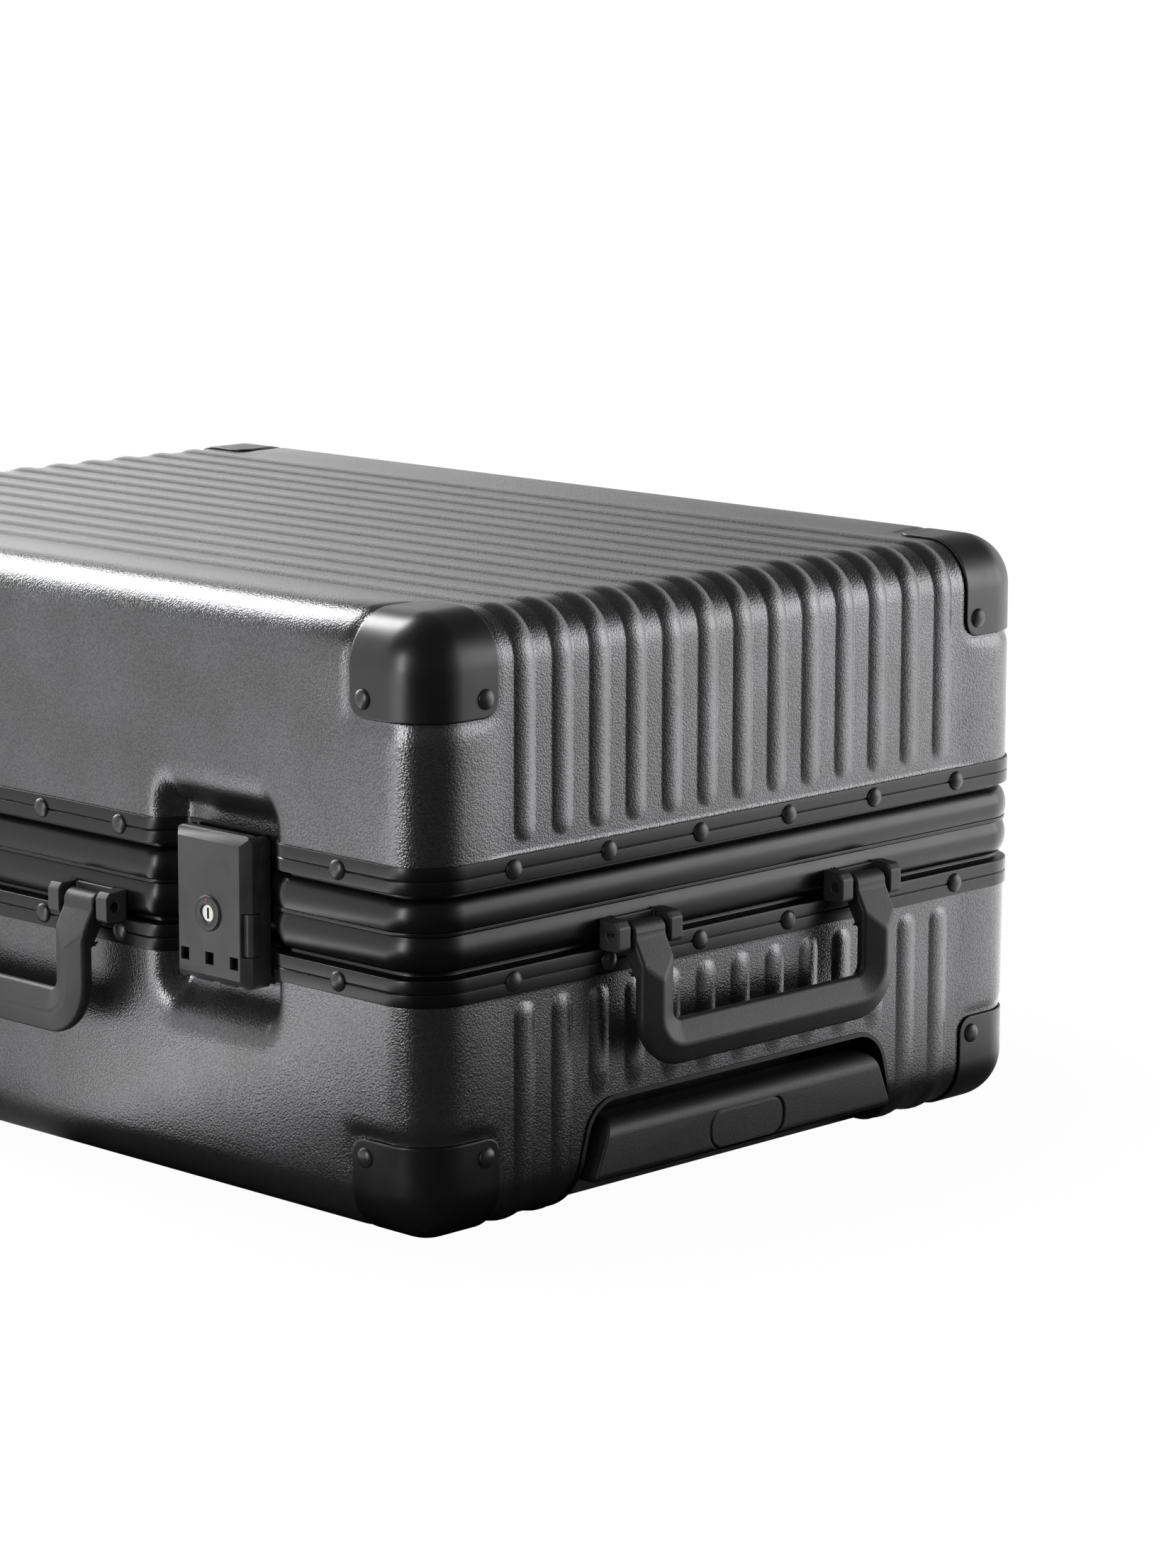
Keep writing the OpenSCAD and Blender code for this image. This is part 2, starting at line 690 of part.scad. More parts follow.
// bracket with two ears; drawn against a face that points towards +X
module bracket() difference() {
    union() {
        both([0, 1, 0]) translate([0, bar_w / 2 + ear_gap + ear_w, pin_z])
            rotate([90, 0, 0]) ear();
        translate([plate_out, -bar_w / 2 - ear_gap - 1, pin_z - ear_h / 2 + 1])
            cube([plate_t, bar_w + 2 * ear_gap + 2, ear_h - 1.4]);
    }
    pin_line(pin_d + 0.1, 2 * bar_w + 4 * ear_w);
}

module bracket_places() {
    both([0, 1, 0]) translate([half_l, carry_span / 2, 0]) children();
    rotate([0, 0, -90]) both([0, 1, 0]) translate([half_w, side_span / 2, 0]) children();
}

module handle_brackets() color("#1c1c1c") bracket_places() bracket();
module handle_pins() color("gray") bracket_places()
    pin_line(pin_d, bar_w + 2 * ear_gap + 2 * ear_w - 1);

bar_section = [[bar_back, 1.5], [bar_back + 3.5, 0], [bar_mid, 0], [bar_front, bar_w * 0.53],
    [bar_mid + 1, bar_w], [bar_back + 2.5, bar_w], [bar_back, bar_w - 2]];

// one leg with its barrel, from the bend up to the pin
module handle_leg(bend_z) {
    leg_top = pin_z - 17;
    shoulder = [bar_mid, leg_top + 7];
    barrel = arc([pin_out, pin_z], barrel_r, -20, 200, 10);
    intersection() {
        translate([0, 0, bend_z]) linear_extrude(pin_z - bend_z) polygon(bar_section);
        translate([0, bar_w, 0]) rotate([90, 0, 0]) linear_extrude(bar_w)
            polygon([[bar_back, bend_z], [bar_front, bend_z], [bar_front, leg_top - 2],
                shoulder, barrel[0], [bar_back, pin_z - 3]]);
    }
    translate([0, bar_w, 0]) rotate([90, 0, 0]) linear_extrude(bar_w)
        polygon(concat(barrel, [[bar_back - 4.5, leg_top + 8], [bar_back, leg_top],
            [bar_mid, leg_top], shoulder]));
}

// U-shaped handle hanging from two pins, drawn against a face that points towards +X
module handle(span) difference() {
    gap = (span - bar_w) / 2;
    bar_top = pin_z - handle_drop + bar_w;
    bend_z = bar_top + inner_r;
    union() {
        translate([0, gap - inner_r, bar_top - bar_w]) rotate([90, 0, 0])
            linear_extrude(2 * (gap - inner_r))
                polygon([for (p = bar_section) [p[0], bar_w - p[1]]]);
        both([0, 1, 0]) {
            translate([0, gap - inner_r, bend_z]) rotate([0, 90, 0]) rotate_extrude(angle = 90)
                polygon([for (p = bar_section) [inner_r + p[1], p[0]]]);
            translate([0, gap, 0]) handle_leg(bend_z);
        }
    }
    pin_line(pin_d + 0.1, 2 * span);
}

module carry_handle() color("#242424") translate([half_l, 0, 0]) handle(carry_span);
module side_handle() color("#242424")
    rotate([0, 0, -90]) translate([half_w, 0, 0]) handle(side_span);

// ---------- hinges ----------

hinge_places = [-hinge_x, 0, hinge_x];
leaf_out = strip_proud + seat_gap;
hinge_pin_d = 2.5;
knuckle_l = hinge_l / 3;

// leaf of one half, drawn for the back half; tabs lists the start and end of its knuckles
module leaf(tabs) difference() {
    union() {
        translate([-hinge_l / 2, leaf_out, mid_z - strip_lo - strip_h])
            cube([hinge_l, leaf_t, strip_lo + strip_h - knuckle_r - 0.5]);
        for (t = tabs) {
            translate([t[0], leaf_out, mid_z - knuckle_r - 1])
                cube([t[1] - t[0], leaf_t, knuckle_r + 1]);
            translate([t[0], hinge_out, mid_z]) rotate([0, 90, 0])
                cylinder(r = knuckle_r, h = t[1] - t[0]);
        }
    }
    translate([-hinge_l, hinge_out, mid_z]) rotate([0, 90, 0])
        cylinder(d = hinge_pin_d + 0.1, h = 2 * hinge_l);
    for (s = [-1, 1]) translate([s * (hinge_l / 2 - 9), 0, mid_z - strip_mid]) rotate([-90, 0, 0])
        cylinder(d = shank_d + 0.2, h = 12);
}

module at_hinges() for (x = hinge_places) translate([x, half_w, 0]) children();

module back_hinge_leaves() color("black") at_hinges()
    leaf([[-hinge_l / 2, -knuckle_l / 2 - 0.2], [knuckle_l / 2 + 0.2, hinge_l / 2]]);
module front_hinge_leaves() color("black") to_front() at_hinges()
    leaf([[-knuckle_l / 2 + 0.2, knuckle_l / 2 - 0.2]]);
module hinge_pins() color("gray") at_hinges()
    translate([-hinge_l / 2, hinge_out, mid_z]) rotate([0, 90, 0])
        cylinder(d = hinge_pin_d, h = hinge_l);

// ---------- locks ----------
// drawn round the middle of a pocket: X along the case, -Y outwards, Z up from the parting plane

lock_low = lock_up - lock_h;
lock_back = lock_proud - lock_t;
floor_out = strip_proud - pocket_d;
pivot_out = floor_out + 6;
pivot_z = lock_up - 5;
pivot_d = 2.5;
sweep_r = 5.6;
lock_ear_r = 3;
key_z = -5.8;
core_d = 7;
ring_d = 15;
cam_out = floor_out + 3.1;
cam_w = 4;
cam_l = 8.5;
cam_t = 1.2;
strike_w = 22;
strike_h = 15;
strike_t = 1.2;
strike_up = 2.4;
lug_out = -5.5;
window_w = 5;
window_h = 5.2;
release_in = lock_w / 2 - 3.4;
release_lip = 3.6;
release_gap = 0.3;
shaft_d = 2;
dial_out = floor_out + dial_r + 0.8;
dial_z = lock_low + dial_r - 0.3;
window_z = lock_low + 10.8;
release_z = [-21.5, -3.8];
base_t = 1;

module at_lock(s) translate([0, -half_w, mid_z]) mirror([s < 0 ? 1 : 0, 0, 0])
    translate([lock_x, 0, 0]) children();

// extrudes a profile of [outward, up] points along X
module along_x(w) translate([-w / 2, 0, 0]) mirror([0, 1, 0]) rotate([90, 0, 90])
    linear_extrude(w) children();

// slab with chamfered front edges, drawn inset from the cover; rear ends its outline
module slab(inset, rear) {
    c = lock_chamfer - 0.6 * inset;
    front = lock_proud - inset;
    side = lock_w / 2 - inset;
    low = lock_low + inset;
    top = lock_up - inset;
    intersection() {
        along_x(2 * side) polygon(concat([[lock_back - inset, low], [front - c, low],
            [front, low + c], [front, top - c], [front - c, top]], rear));
        translate([0, 0, low]) mirror([0, 1, 0]) linear_extrude(2 * lock_h)
            polygon([[-side, -20], [-side, front - c], [c - side, front], [side - c, front],
                [side, front - c], [side, -20]]);
    }
}

// corner rounded about the pivot, so that the cover turns clear of the pocket
sweep = arc([pivot_out, pivot_z], sweep_r, 180 - asin((lock_up - pivot_z) / sweep_r),
    180 - acos((pivot_out - lock_back) / sweep_r), 4);

module rod(d, l) rotate([0, 90, 0]) cylinder(d = d, h = l, center = true);
module key_axis() translate([0, 0, key_z]) rotate([90, 0, 0]) children();
module at_pivot() translate([0, -pivot_out, pivot_z]) children();

module lock_cover(s) color("#1c1c1c") at_lock(s) difference() {
    union() {
        difference() {
            slab(0, sweep);
            slab(lock_wall, [[lock_back - lock_wall, lock_up - lock_wall]]);
            translate([lock_wall - lock_w / 2, -pivot_out - 1, pivot_z])
                cube([lock_w - 2 * lock_wall, lock_t, lock_w]);
            // notch that lets the strike pass
            translate([-strike_w / 2 - 0.7, -lug_out - 0.3, lock_low - 1])
                cube([strike_w + 1.4, lock_t, lock_wall + 2]);
        }
        key_axis() {
            translate([0, 0, lock_proud - lock_wall]) cylinder(d = ring_d, h = lock_wall + 0.8);
            translate([0, 0, -4]) cylinder(d = core_d + 3, h = lock_proud + 3);
        }
    }
    key_axis() translate([0, 0, -lock_t]) cylinder(d = core_d + 0.1, h = 2 * lock_t);
    at_pivot() rod(pivot_d + 0.1, lock_w + 2);
    for (i = [-1:1]) translate([i * dial_pitch, 0, 0]) {
        translate([-window_w / 2, -lock_proud - 1, window_z - window_h / 2])
            cube([window_w, lock_wall + 1.5, window_h]);
        translate([-dial_w / 2 - 0.3, -0.5, lock_low - 1])
            cube([dial_w + 0.6, dial_r - dial_out + 0.1, lock_wall + 2.7]);
    }
    translate([0, 0, release_z[0] - release_gap])
        linear_extrude(release_z[1] - release_z[0] + 2 * release_gap) mirror([0, 1, 0]) {
            translate([release_in, -4.5]) square([lock_w, lock_proud + 5.5]);
            // room behind the front wall for the button's lip and its travel
            translate([release_in - release_lip - release_travel - release_gap, -4.5])
                square([lock_w, lock_proud - lock_wall - 0.1 + 4.5]);
        }
}

module dial_shaft(s) color("gray") at_lock(s)
    translate([0, -dial_out, dial_z]) rod(shaft_d, lock_w - 2 * lock_wall - 0.2);

module dial(s, i) color("#101010") at_lock(s) translate([i * dial_pitch, -dial_out, dial_z])
    difference() {
        rod(2 * dial_r, dial_w);
        rod(shaft_d + 0.1, dial_w + 2);
        for (k = [0:9]) rotate([36 * k + 18, 0, 0]) translate([0, dial_r + 0.7, 0])
            rod(2.2, dial_w + 2);
    }

// core with its keyway, and the cam on its tail
module key_cylinder(s) color("silver") at_lock(s) key_axis() difference() {
    union() {
        translate([0, 0, cam_out]) cylinder(d = core_d, h = lock_proud + 0.5 - cam_out);
        translate([-cam_w / 2, -cam_l, cam_out]) cube([cam_w, cam_l, cam_t]);
    }
    translate([-0.6, -2.2, lock_proud - 2.5]) cube([1.2, 4.4, 4]);
}

module release(s) color("#303030") at_lock(s)
    translate([0, 0, release_z[0]]) mirror([0, 1, 0]) linear_extrude(release_z[1] - release_z[0])
        polygon([[release_in - release_lip, -4.2], [lock_w / 2 + 0.3, -4.2],
            [lock_w / 2 + 0.3, lock_proud - lock_chamfer],
            [lock_w / 2 - 1.3, lock_proud - lock_chamfer + 1.6],
            [release_in - release_lip, lock_proud - lock_wall - 0.4]]);

// plate on the lid's strip with the two ears that carry the cover; the ears' tops slope back,
// out of the way of the turning cover
module lock_bases() color("black") for (s = [-1, 1]) at_lock(s) difference() {
    ear_x = lock_w / 2 - lock_wall - 0.6;
    back = floor_out + seat_gap;
    slope = acos(lock_ear_r / (pivot_out - back));
    union() {
        along_x(2 * ear_x) translate([back, 3]) square([base_t, lock_up - 3.6]);
        both([1, 0, 0]) translate([ear_x - 1.5, 0, 0]) along_x(3)
            polygon(concat([[back, pivot_z - 7]],
                arc([pivot_out, pivot_z], lock_ear_r, -50, 180 - slope, 7), [[back, pivot_z]]));
    }
    at_pivot() rod(pivot_d + 0.1, lock_w);
}

module lock_pins() color("gray") for (s = [-1, 1]) at_lock(s)
    at_pivot() rod(pivot_d, lock_w - 0.4);

// plate on the back frame with two lugs that the cam turns under
module lock_strikes() color("gray") for (s = [-1, 1]) at_lock(s) {
    back = bead_proud - pocket_d + seat_gap;
    lug_x = core_d / 2 + 0.4;
    lug_z = key_z + cam_w / 2 + 0.4;
    along_x(strike_w) translate([back, lug_z + strike_up - strike_h])
        square([strike_t, strike_h]);
    both([1, 0, 0]) translate([lug_x, -lug_out, lug_z])
        cube([strike_w / 2 - 1 - lug_x, lug_out - back - 0.6, 2]);
}

// ---------- casters ----------

axle_x = half_l + housing_t + 3.4 + 0.9 + wheel_r;
stem_d = 8;
crown_x = half_l + housing_t + 0.4;
bore_r = wheel_r - tyre_t;

// drawn at the back right corner, with the wheel end turned towards +X
module housing() difference() {
    union() {
        translate([half_l, 0, 0]) rotate([90, 0, 90]) linear_extrude(housing_t - 2)
            rounded_rect(housing_w, housing_w, 9);
        translate([half_l + housing_t - 2, 0, 0]) rotate([90, 0, 90]) linear_extrude(2)
            rounded_rect(housing_w - 8, housing_w - 8, 8);
    }
    translate([half_l + 0.8, 0, 0]) rotate([0, 90, 0]) cylinder(d = stem_d + 0.1, h = housing_t + 2);
}

module fork() difference() {
    union() {
        translate([half_l + 1, 0, 0]) rotate([0, 90, 0]) cylinder(d = stem_d, h = housing_t + 1);
        translate([crown_x, 0, 0]) rotate([0, 90, 0]) cylinder(r = 12, h = 3);
        translate([0, fork_t / 2, 0]) rotate([90, 0, 0]) linear_extrude(fork_t)
            polygon(concat([[crown_x + 1, 9], [crown_x + 1, -11]],
                arc([axle_x, -trail], 7, -120, 60, 8)));
    }
    translate([axle_x, 0, -trail]) rotate([90, 0, 0])
        cylinder(d = hub_d + 0.1, h = fork_t + 2, center = true);
}

// twin wheel turned in one piece with the hub that runs in the fork
module wheels() translate([axle_x, 0, -trail]) rotate([90, 0, 0]) {
    cylinder(d = hub_d, h = fork_t + 3, center = true);
    both([0, 0, 1]) translate([0, 0, fork_t / 2 + 0.5]) rotate_extrude()
        polygon([[0, 0], [bore_r - 0.1, 0], [bore_r - 0.1, wheel_w], [bore_r - 3, wheel_w],
            [bore_r - 4, wheel_w - 1.5], [hub_d / 2 + 1, wheel_w - 1.5],
            [hub_d / 2, wheel_w - 0.6], [0, wheel_w - 0.6]]);
}

module tyres() translate([axle_x, 0, -trail]) rotate([90, 0, 0])
    both([0, 0, 1]) translate([0, 0, fork_t / 2 + 0.5]) rotate_extrude()
        polygon([[bore_r, 0.3], [wheel_r - 1.5, 0.3], [wheel_r - 0.3, 1.4], [wheel_r, 3],
            [wheel_r, wheel_w - 3], [wheel_r - 0.3, wheel_w - 1.4], [wheel_r - 1.5, wheel_w - 0.3],
            [bore_r, wheel_w - 0.3]]);

// side is +1 for the hinge side; front places the piece under the front shell
module at_caster(side, front) mirror([1, 0, 0])
    translate([0, side * (half_w - caster_y), front ? case_h - caster_z : caster_z]) children();

module housings(front) color("black") for (s = [-1, 1]) at_caster(s, front) housing();
module caster_fork(s, front) color("#202020") at_caster(s, front) fork();
module caster_wheels(s, front) color("#404040") at_caster(s, front) wheels();
module caster_tyres(s, front) color("#181818") at_caster(s, front) tyres();

// ---------- inside ----------

lining_out = flange_in + 0.3;
lining_z = wall_t + groove_d + 0.5;
hump_h = tube_z + tube_h / 2 + 1;
hump_w = tube_w + 6;

// solid inside a lining: grow 0 is its outer face, lining_t its inner face
module lining_body(grow, recess, reach) difference() {
    off = lining_out + grow;
    corner = edge_r - off + 4;
    translate([0, 0, lining_z + grow])
        tray(case_l - 2 * off, case_w - 2 * off, mid_z - face - 0.4 - lining_z, corner);
    pockets(off, reach);
    if (recess) {
        both([0, 1, 0]) translate([-half_l, tube_span / 2 - hump_w / 2 - grow, 0])
            cube([case_l, hump_w + 2 * grow, hump_h + grow]);
        translate([-half_l, -foot_half - 1 - grow, 0])
            cube([half_l + tube_end + 2 * foot_t + 1 + grow, 2 * (foot_half + 1 + grow),
                foot_top + 0.5 + grow]);
        translate([recess_x - 1 - grow, -recess_w - 1 - grow, 0])
            cube([recess_d, 2 * (recess_w + 1 + grow), recess_h + 1 + grow]);
    }
}

module lining(recess, reach) difference() {
    lining_body(0, recess, reach);
    lining_body(lining_t, recess, reach);
}

module back_lining() color("#383838") lining(true, pocket_down);
module front_lining() color("#383838") to_front() lining(false, pocket_up);

pocket_gap = 0.3;
panel_in = 36;
module front_pocket() color("#303030") to_front()
    translate([0, 0, lining_z + lining_t + pocket_gap]) linear_extrude(3)
        rounded_rect(case_l - 2 * panel_in, case_w - 2 * panel_in, 20);

strap_x = 95;
strap_z = foot_top + lining_t + 0.8;
strap_t = 1.6;
strap_end = half_w - lining_out - lining_t - 0.3;
buckle_w = 38;
buckle_l = 56;

module packing_straps() color("#202020") for (x = [-strap_x, strap_x])
    both([0, 1, 0]) translate([x - strap_w / 2, buckle_l / 2 - 8, strap_z])
        cube([strap_w, strap_end - buckle_l / 2 + 8, strap_t]);

module strap_buckles() color("#181818") for (x = [-strap_x, strap_x])
    translate([x, 0, strap_z - 0.1]) difference() {
        union() {
            linear_extrude(strap_t + 3) rounded_rect(strap_w + 7, buckle_l - 12, 6);
            linear_extrude(strap_t + 2) rounded_rect(strap_w + 4, buckle_l, 4);
        }
        both([0, 1, 0]) translate([-strap_w / 2 - 0.2, buckle_l / 2 - 8.2, -1])
            cube([strap_w + 0.4, 20, strap_t + 1.4]);
        translate([-8, -3, strap_t + 2]) cube([16, 6, 5]);
    }

back_shell();
back_frame();
back_rivets();
back_corner_guards();
frame_gasket();
trolley_cup();
trolley_outer_tubes();
trolley_foot();
trolley_middle_tubes();
trolley_inner_tubes();
trolley_grip();
trolley_button();
handle_brackets();
handle_pins();
carry_handle();
side_handle();
front_shell();
front_frame();
front_rivets();
front_corner_guards();
back_hinge_leaves();
front_hinge_leaves();
hinge_pins();
lock_bases();
lock_pins();
lock_cover(1);  // right_lock_cover
key_cylinder(1);  // right_lock_key_cylinder
release(1);  // right_lock_release
dial(1, -1);  // right_lock_dial_1
dial(1, 0);  // right_lock_dial_2
dial(1, 1);  // right_lock_dial_3
dial_shaft(1);  // right_dial_shaft
dial_shaft(-1);  // left_dial_shaft
lock_cover(-1);  // left_lock_cover
key_cylinder(-1);  // left_lock_key_cylinder
release(-1);  // left_lock_release
dial(-1, -1);  // left_lock_dial_1
dial(-1, 0);  // left_lock_dial_2
dial(-1, 1);  // left_lock_dial_3
lock_strikes();
back_lining();
front_lining();
front_pocket();
packing_straps();
strap_buckles();
housings(false);  // back_caster_housings
housings(true);  // front_caster_housings
caster_fork(1, false);  // back_left_fork
caster_wheels(1, false);  // back_left_wheels
caster_tyres(1, false);  // back_left_tyres
caster_fork(-1, false);  // back_right_fork
caster_wheels(-1, false);  // back_right_wheels
caster_tyres(-1, false);  // back_right_tyres
caster_fork(1, true);  // front_left_fork
caster_wheels(1, true);  // front_left_wheels
caster_tyres(1, true);  // front_left_tyres
caster_fork(-1, true);  // front_right_fork
caster_wheels(-1, true);  // front_right_wheels
caster_tyres(-1, true);  // front_right_tyres
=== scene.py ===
"""Looks of the hard shell suitcase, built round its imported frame."""

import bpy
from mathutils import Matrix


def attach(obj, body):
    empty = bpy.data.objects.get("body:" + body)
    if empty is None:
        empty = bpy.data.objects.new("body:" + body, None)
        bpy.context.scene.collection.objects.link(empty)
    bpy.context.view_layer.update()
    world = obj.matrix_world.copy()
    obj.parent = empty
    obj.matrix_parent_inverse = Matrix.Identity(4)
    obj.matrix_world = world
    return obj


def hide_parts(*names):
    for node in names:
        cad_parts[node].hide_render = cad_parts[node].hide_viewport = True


bl_info = {
    "name": "Hard shell suitcase",
    "version": (1, 0, 0),
    "blender": (4, 5, 0),
    "location": "3D View > Sidebar > Suitcase",
    "description": "Dresses the suitcase frame with moulded shells, fittings and lining",
    "category": "Object",
}

import math
from contextlib import contextmanager

import bmesh
import bpy
import numpy as np
from mathutils import Matrix, Vector, noise

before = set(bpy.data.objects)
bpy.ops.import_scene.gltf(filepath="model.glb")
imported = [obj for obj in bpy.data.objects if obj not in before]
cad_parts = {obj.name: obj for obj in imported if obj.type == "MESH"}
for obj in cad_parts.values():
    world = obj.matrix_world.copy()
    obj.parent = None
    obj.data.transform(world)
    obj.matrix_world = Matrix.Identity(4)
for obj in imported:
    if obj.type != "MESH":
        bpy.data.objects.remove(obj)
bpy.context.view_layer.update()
MM = 0.001

# sizes of the case in mm, as its frame has them
HALF_L, HALF_W, MID_Z = 255.0, 183.0, 126.0
EDGE_R = 22.0
FLAT_X, FLAT_Y, BEND_H = HALF_L - EDGE_R, HALF_W - EDGE_R, MID_Z - EDGE_R
WALL = 2.4
RIM_H = 18.2
GUARD_L, GUARD_R = 41.5, 7.0
GUARD_X, GUARD_Y, GUARD_H = HALF_L - GUARD_L, HALF_W - GUARD_L, MID_Z - GUARD_L
# lock pockets: place, half width at the mouth and floor, depth, and radii of lip and foot
LOCK_X, POCKET_HALF, FLOOR_HALF, POCKET_D = 133.0, 43.0, 26.25, 12.0
LIP_R, FOOT_R = 11.0, 4.5
HALVES = (("back", "base"), ("front", "lid"))

# materials that several pieces share
SAND = "Moulded polypropylene, sand grain"
ABS = "Moulded ABS, smooth black"
CAST = "Die-cast zinc, structured paint"
COAT = "Extruded aluminium, black satin coat"
STEEL = "Turned steel, bare"
NICKEL = "Plated brass, satin nickel"
ACETAL = "Moulded acetal, black"
PRINT = "Printed figures and thread, light grey"
CLOTH = "Woven polyester lining"
WEBBING = "Woven nylon webbing"
MATERIALS = {}


# ---------- helpers ----------

def linear(colour):
    """An sRGB hex colour as linear RGBA."""
    parts = [int(colour[i:i + 2], 16) / 255 for i in (1, 3, 5)]
    return (*[c / 12.92 if c <= 0.04045 else ((c + 0.055) / 1.055) ** 2.4 for c in parts], 1.0)


def node(tree, kind, inputs=None, **settings):
    """Adds a node with its settings, input values and links."""
    made = tree.nodes.new(kind)
    for key, value in settings.items():
        setattr(made, key, value)
    for key, value in (inputs or {}).items():
        if isinstance(value, bpy.types.NodeSocket):
            tree.links.new(value, made.inputs[key])
        else:
            made.inputs[key].default_value = value
    return made


def fresh_tree(data):
    """The emptied node tree of a material or world."""
    data.use_nodes = True
    data.node_tree.nodes.clear()
    return data.node_tree


def calc(tree, operation, *values):
    """What a Math node makes of its values."""
    return node(tree, "ShaderNodeMath", dict(enumerate(values)), operation=operation).outputs[0]


def mapped(tree, value, start, end, low, high, **settings):
    """A value that runs from start to end, made to run from low to high."""
    return node(tree, "ShaderNodeMapRange",
                {"Value": value, "From Min": start, "From Max": end, "To Min": low,
                 "To Max": high}, **settings).outputs[0]


def new_object(name, mesh):
    made = bpy.data.objects.new(name, mesh)
    bpy.context.scene.collection.objects.link(made)
    return made


def mesh_object(name, points, faces):
    """A mesh object from points in mm."""
    mesh = bpy.data.meshes.new(name)
    mesh.from_pydata((np.asarray(points, float) * MM).tolist(), [], faces)
    mesh.validate()
    return new_object(name, mesh)


def smooth(obj, angle=35.0):
    obj.data.shade_smooth()
    obj.data.set_sharp_from_angle(angle=math.radians(angle))
    return obj


def settle(obj):
    """Turns an object and its modifiers into a plain mesh."""
    graph = bpy.context.evaluated_depsgraph_get()
    mesh = bpy.data.meshes.new_from_object(obj.evaluated_get(graph))
    obj.modifiers.clear()
    obj.data = mesh
    return obj


def modify(obj, name, kind, **settings):
    """Adds a modifier with its settings."""
    modifier = obj.modifiers.new(name, kind)
    for key, value in settings.items():
        setattr(modifier, key, value)
    return modifier


@contextmanager
def opened(obj):
    """An object's mesh to work on, written back at the end."""
    work = bmesh.new()
    work.from_mesh(obj.data)
    yield work
    work.to_mesh(obj.data)
    work.free()


def dress(obj, material):
    obj.data.materials.clear()
    obj.data.materials.append(MATERIALS[material])
    return obj


def place(obj, body, slot, *nodes):
    """A finished piece rides on its body and stands for its CAD nodes."""
    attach(obj, body)
    if nodes:
        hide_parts(*nodes)
    return obj


def finish(obj, angle, material, body, slot, *nodes):
    return place(dress(smooth(obj, angle), material), body, slot, *nodes)


def outward(obj):
    """Makes all faces of closed solids point outwards."""
    with opened(obj) as work:
        bmesh.ops.recalc_face_normals(work, faces=work.faces)
    return obj


def loft(name, rings, looped=False):
    """A closed solid through rings of points in mm, capped at its ends or joined in a loop."""
    n, total = len(rings[0]), len(rings)
    faces = []
    for k in range(total if looped else total - 1):
        a, b = k * n, (k + 1) % total * n
        faces += [(a + i, a + (i + 1) % n, b + (i + 1) % n, b + i) for i in range(n)]
    if not looped:
        faces += [tuple(range(n)), tuple(range(total * n - 1, (total - 1) * n - 1, -1))]
    return outward(mesh_object(name, [p for ring in rings for p in ring], faces))


def prism(name, ends):
    """A closed prism between two outlines of points in mm."""
    n = len(ends[0])
    faces = [tuple(range(n)), tuple(range(2 * n - 1, n - 1, -1))]
    faces += [(i, n + i, n + (i + 1) % n, (i + 1) % n) for i in range(n)]
    return outward(mesh_object(name, ends[0] + ends[1], faces))


def joined(name, parts):
    """One object made of several."""
    with opened(parts[0]) as work:
        for part in parts[1:]:
            work.from_mesh(part.data)
            bpy.data.objects.remove(part)
    parts[0].name = name
    return parts[0]


def merged_copy(name):
    """A copy of a CAD node with its loose triangles merged and its flats made whole."""
    obj = new_object(name + "_finished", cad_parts[name].data.copy())
    obj.data.materials.clear()
    with opened(obj) as work:
        bmesh.ops.remove_doubles(work, verts=work.verts, dist=2e-6)
        bmesh.ops.dissolve_limit(work, angle_limit=math.radians(0.4), verts=work.verts,
                                 edges=work.edges)
    return obj


def eased(name, width, body, slot, material, segments=2):
    """A CAD node with its sharp edges eased by a small round."""
    obj = merged_copy(name)
    if width:
        modify(obj, "Eased edges", "BEVEL", limit_method="ANGLE", angle_limit=math.radians(32),
               width=width * MM, segments=segments, use_clamp_overlap=False,
               miter_outer="MITER_ARC")
    obj.data.shade_smooth()
    smooth(settle(obj), 40)
    modify(obj, "Flat faces", "WEIGHTED_NORMAL", keep_sharp=True, weight=80)
    return place(dress(settle(obj), material), body, slot, name)


# ---------- materials ----------

GRIT = 0.4  # how strong the finer grain is beside the pebbles


def surface(name, colour, values):
    """A named material with one principled shader; returns what its patterns need."""
    mat = bpy.data.materials.new(name)
    tree = fresh_tree(mat)
    shader = node(tree, "ShaderNodeBsdfPrincipled", {"Base Color": linear(colour), **values})
    node(tree, "ShaderNodeOutputMaterial", {0: shader.outputs[0]})
    MATERIALS[name] = mat
    return tree, shader, node(tree, "ShaderNodeTexCoord").outputs["Object"]


def cloud(tree, at, scale, **values):
    return node(tree, "ShaderNodeTexNoise", {"Vector": at, "Scale": scale, **values}).outputs[0]


def feed(tree, output, shader, name):
    tree.links.new(output, shader.inputs[name])


def bumped(tree, shader, height, depth, **settings):
    """Relief of a depth in mm from a height."""
    bump = node(tree, "ShaderNodeBump", {"Height": height, "Strength": 1.0,
                                         "Distance": depth * MM}, **settings)
    feed(tree, bump.outputs[0], shader, "Normal")


def mottle(tree, shader, at, low, high, size):
    """Uneven colour between two tones, in patches of a size in mm."""
    patches = node(tree, "ShaderNodeValToRGB", {"Fac": cloud(tree, at, 1000 / size, Detail=3.0)})
    for stop, position, shade in zip(patches.color_ramp.elements, (0.35, 0.65), (low, high)):
        stop.position = position
        stop.color = linear(shade)
    feed(tree, patches.outputs[0], shader, "Base Color")


def uneven_gloss(tree, shader, at, low, high, size):
    """Roughness between two values, in patches of a size in mm."""
    patches = cloud(tree, at, 1000 / size, Detail=2.0)
    feed(tree, mapped(tree, patches, 0.3, 0.7, low, high), shader, "Roughness")


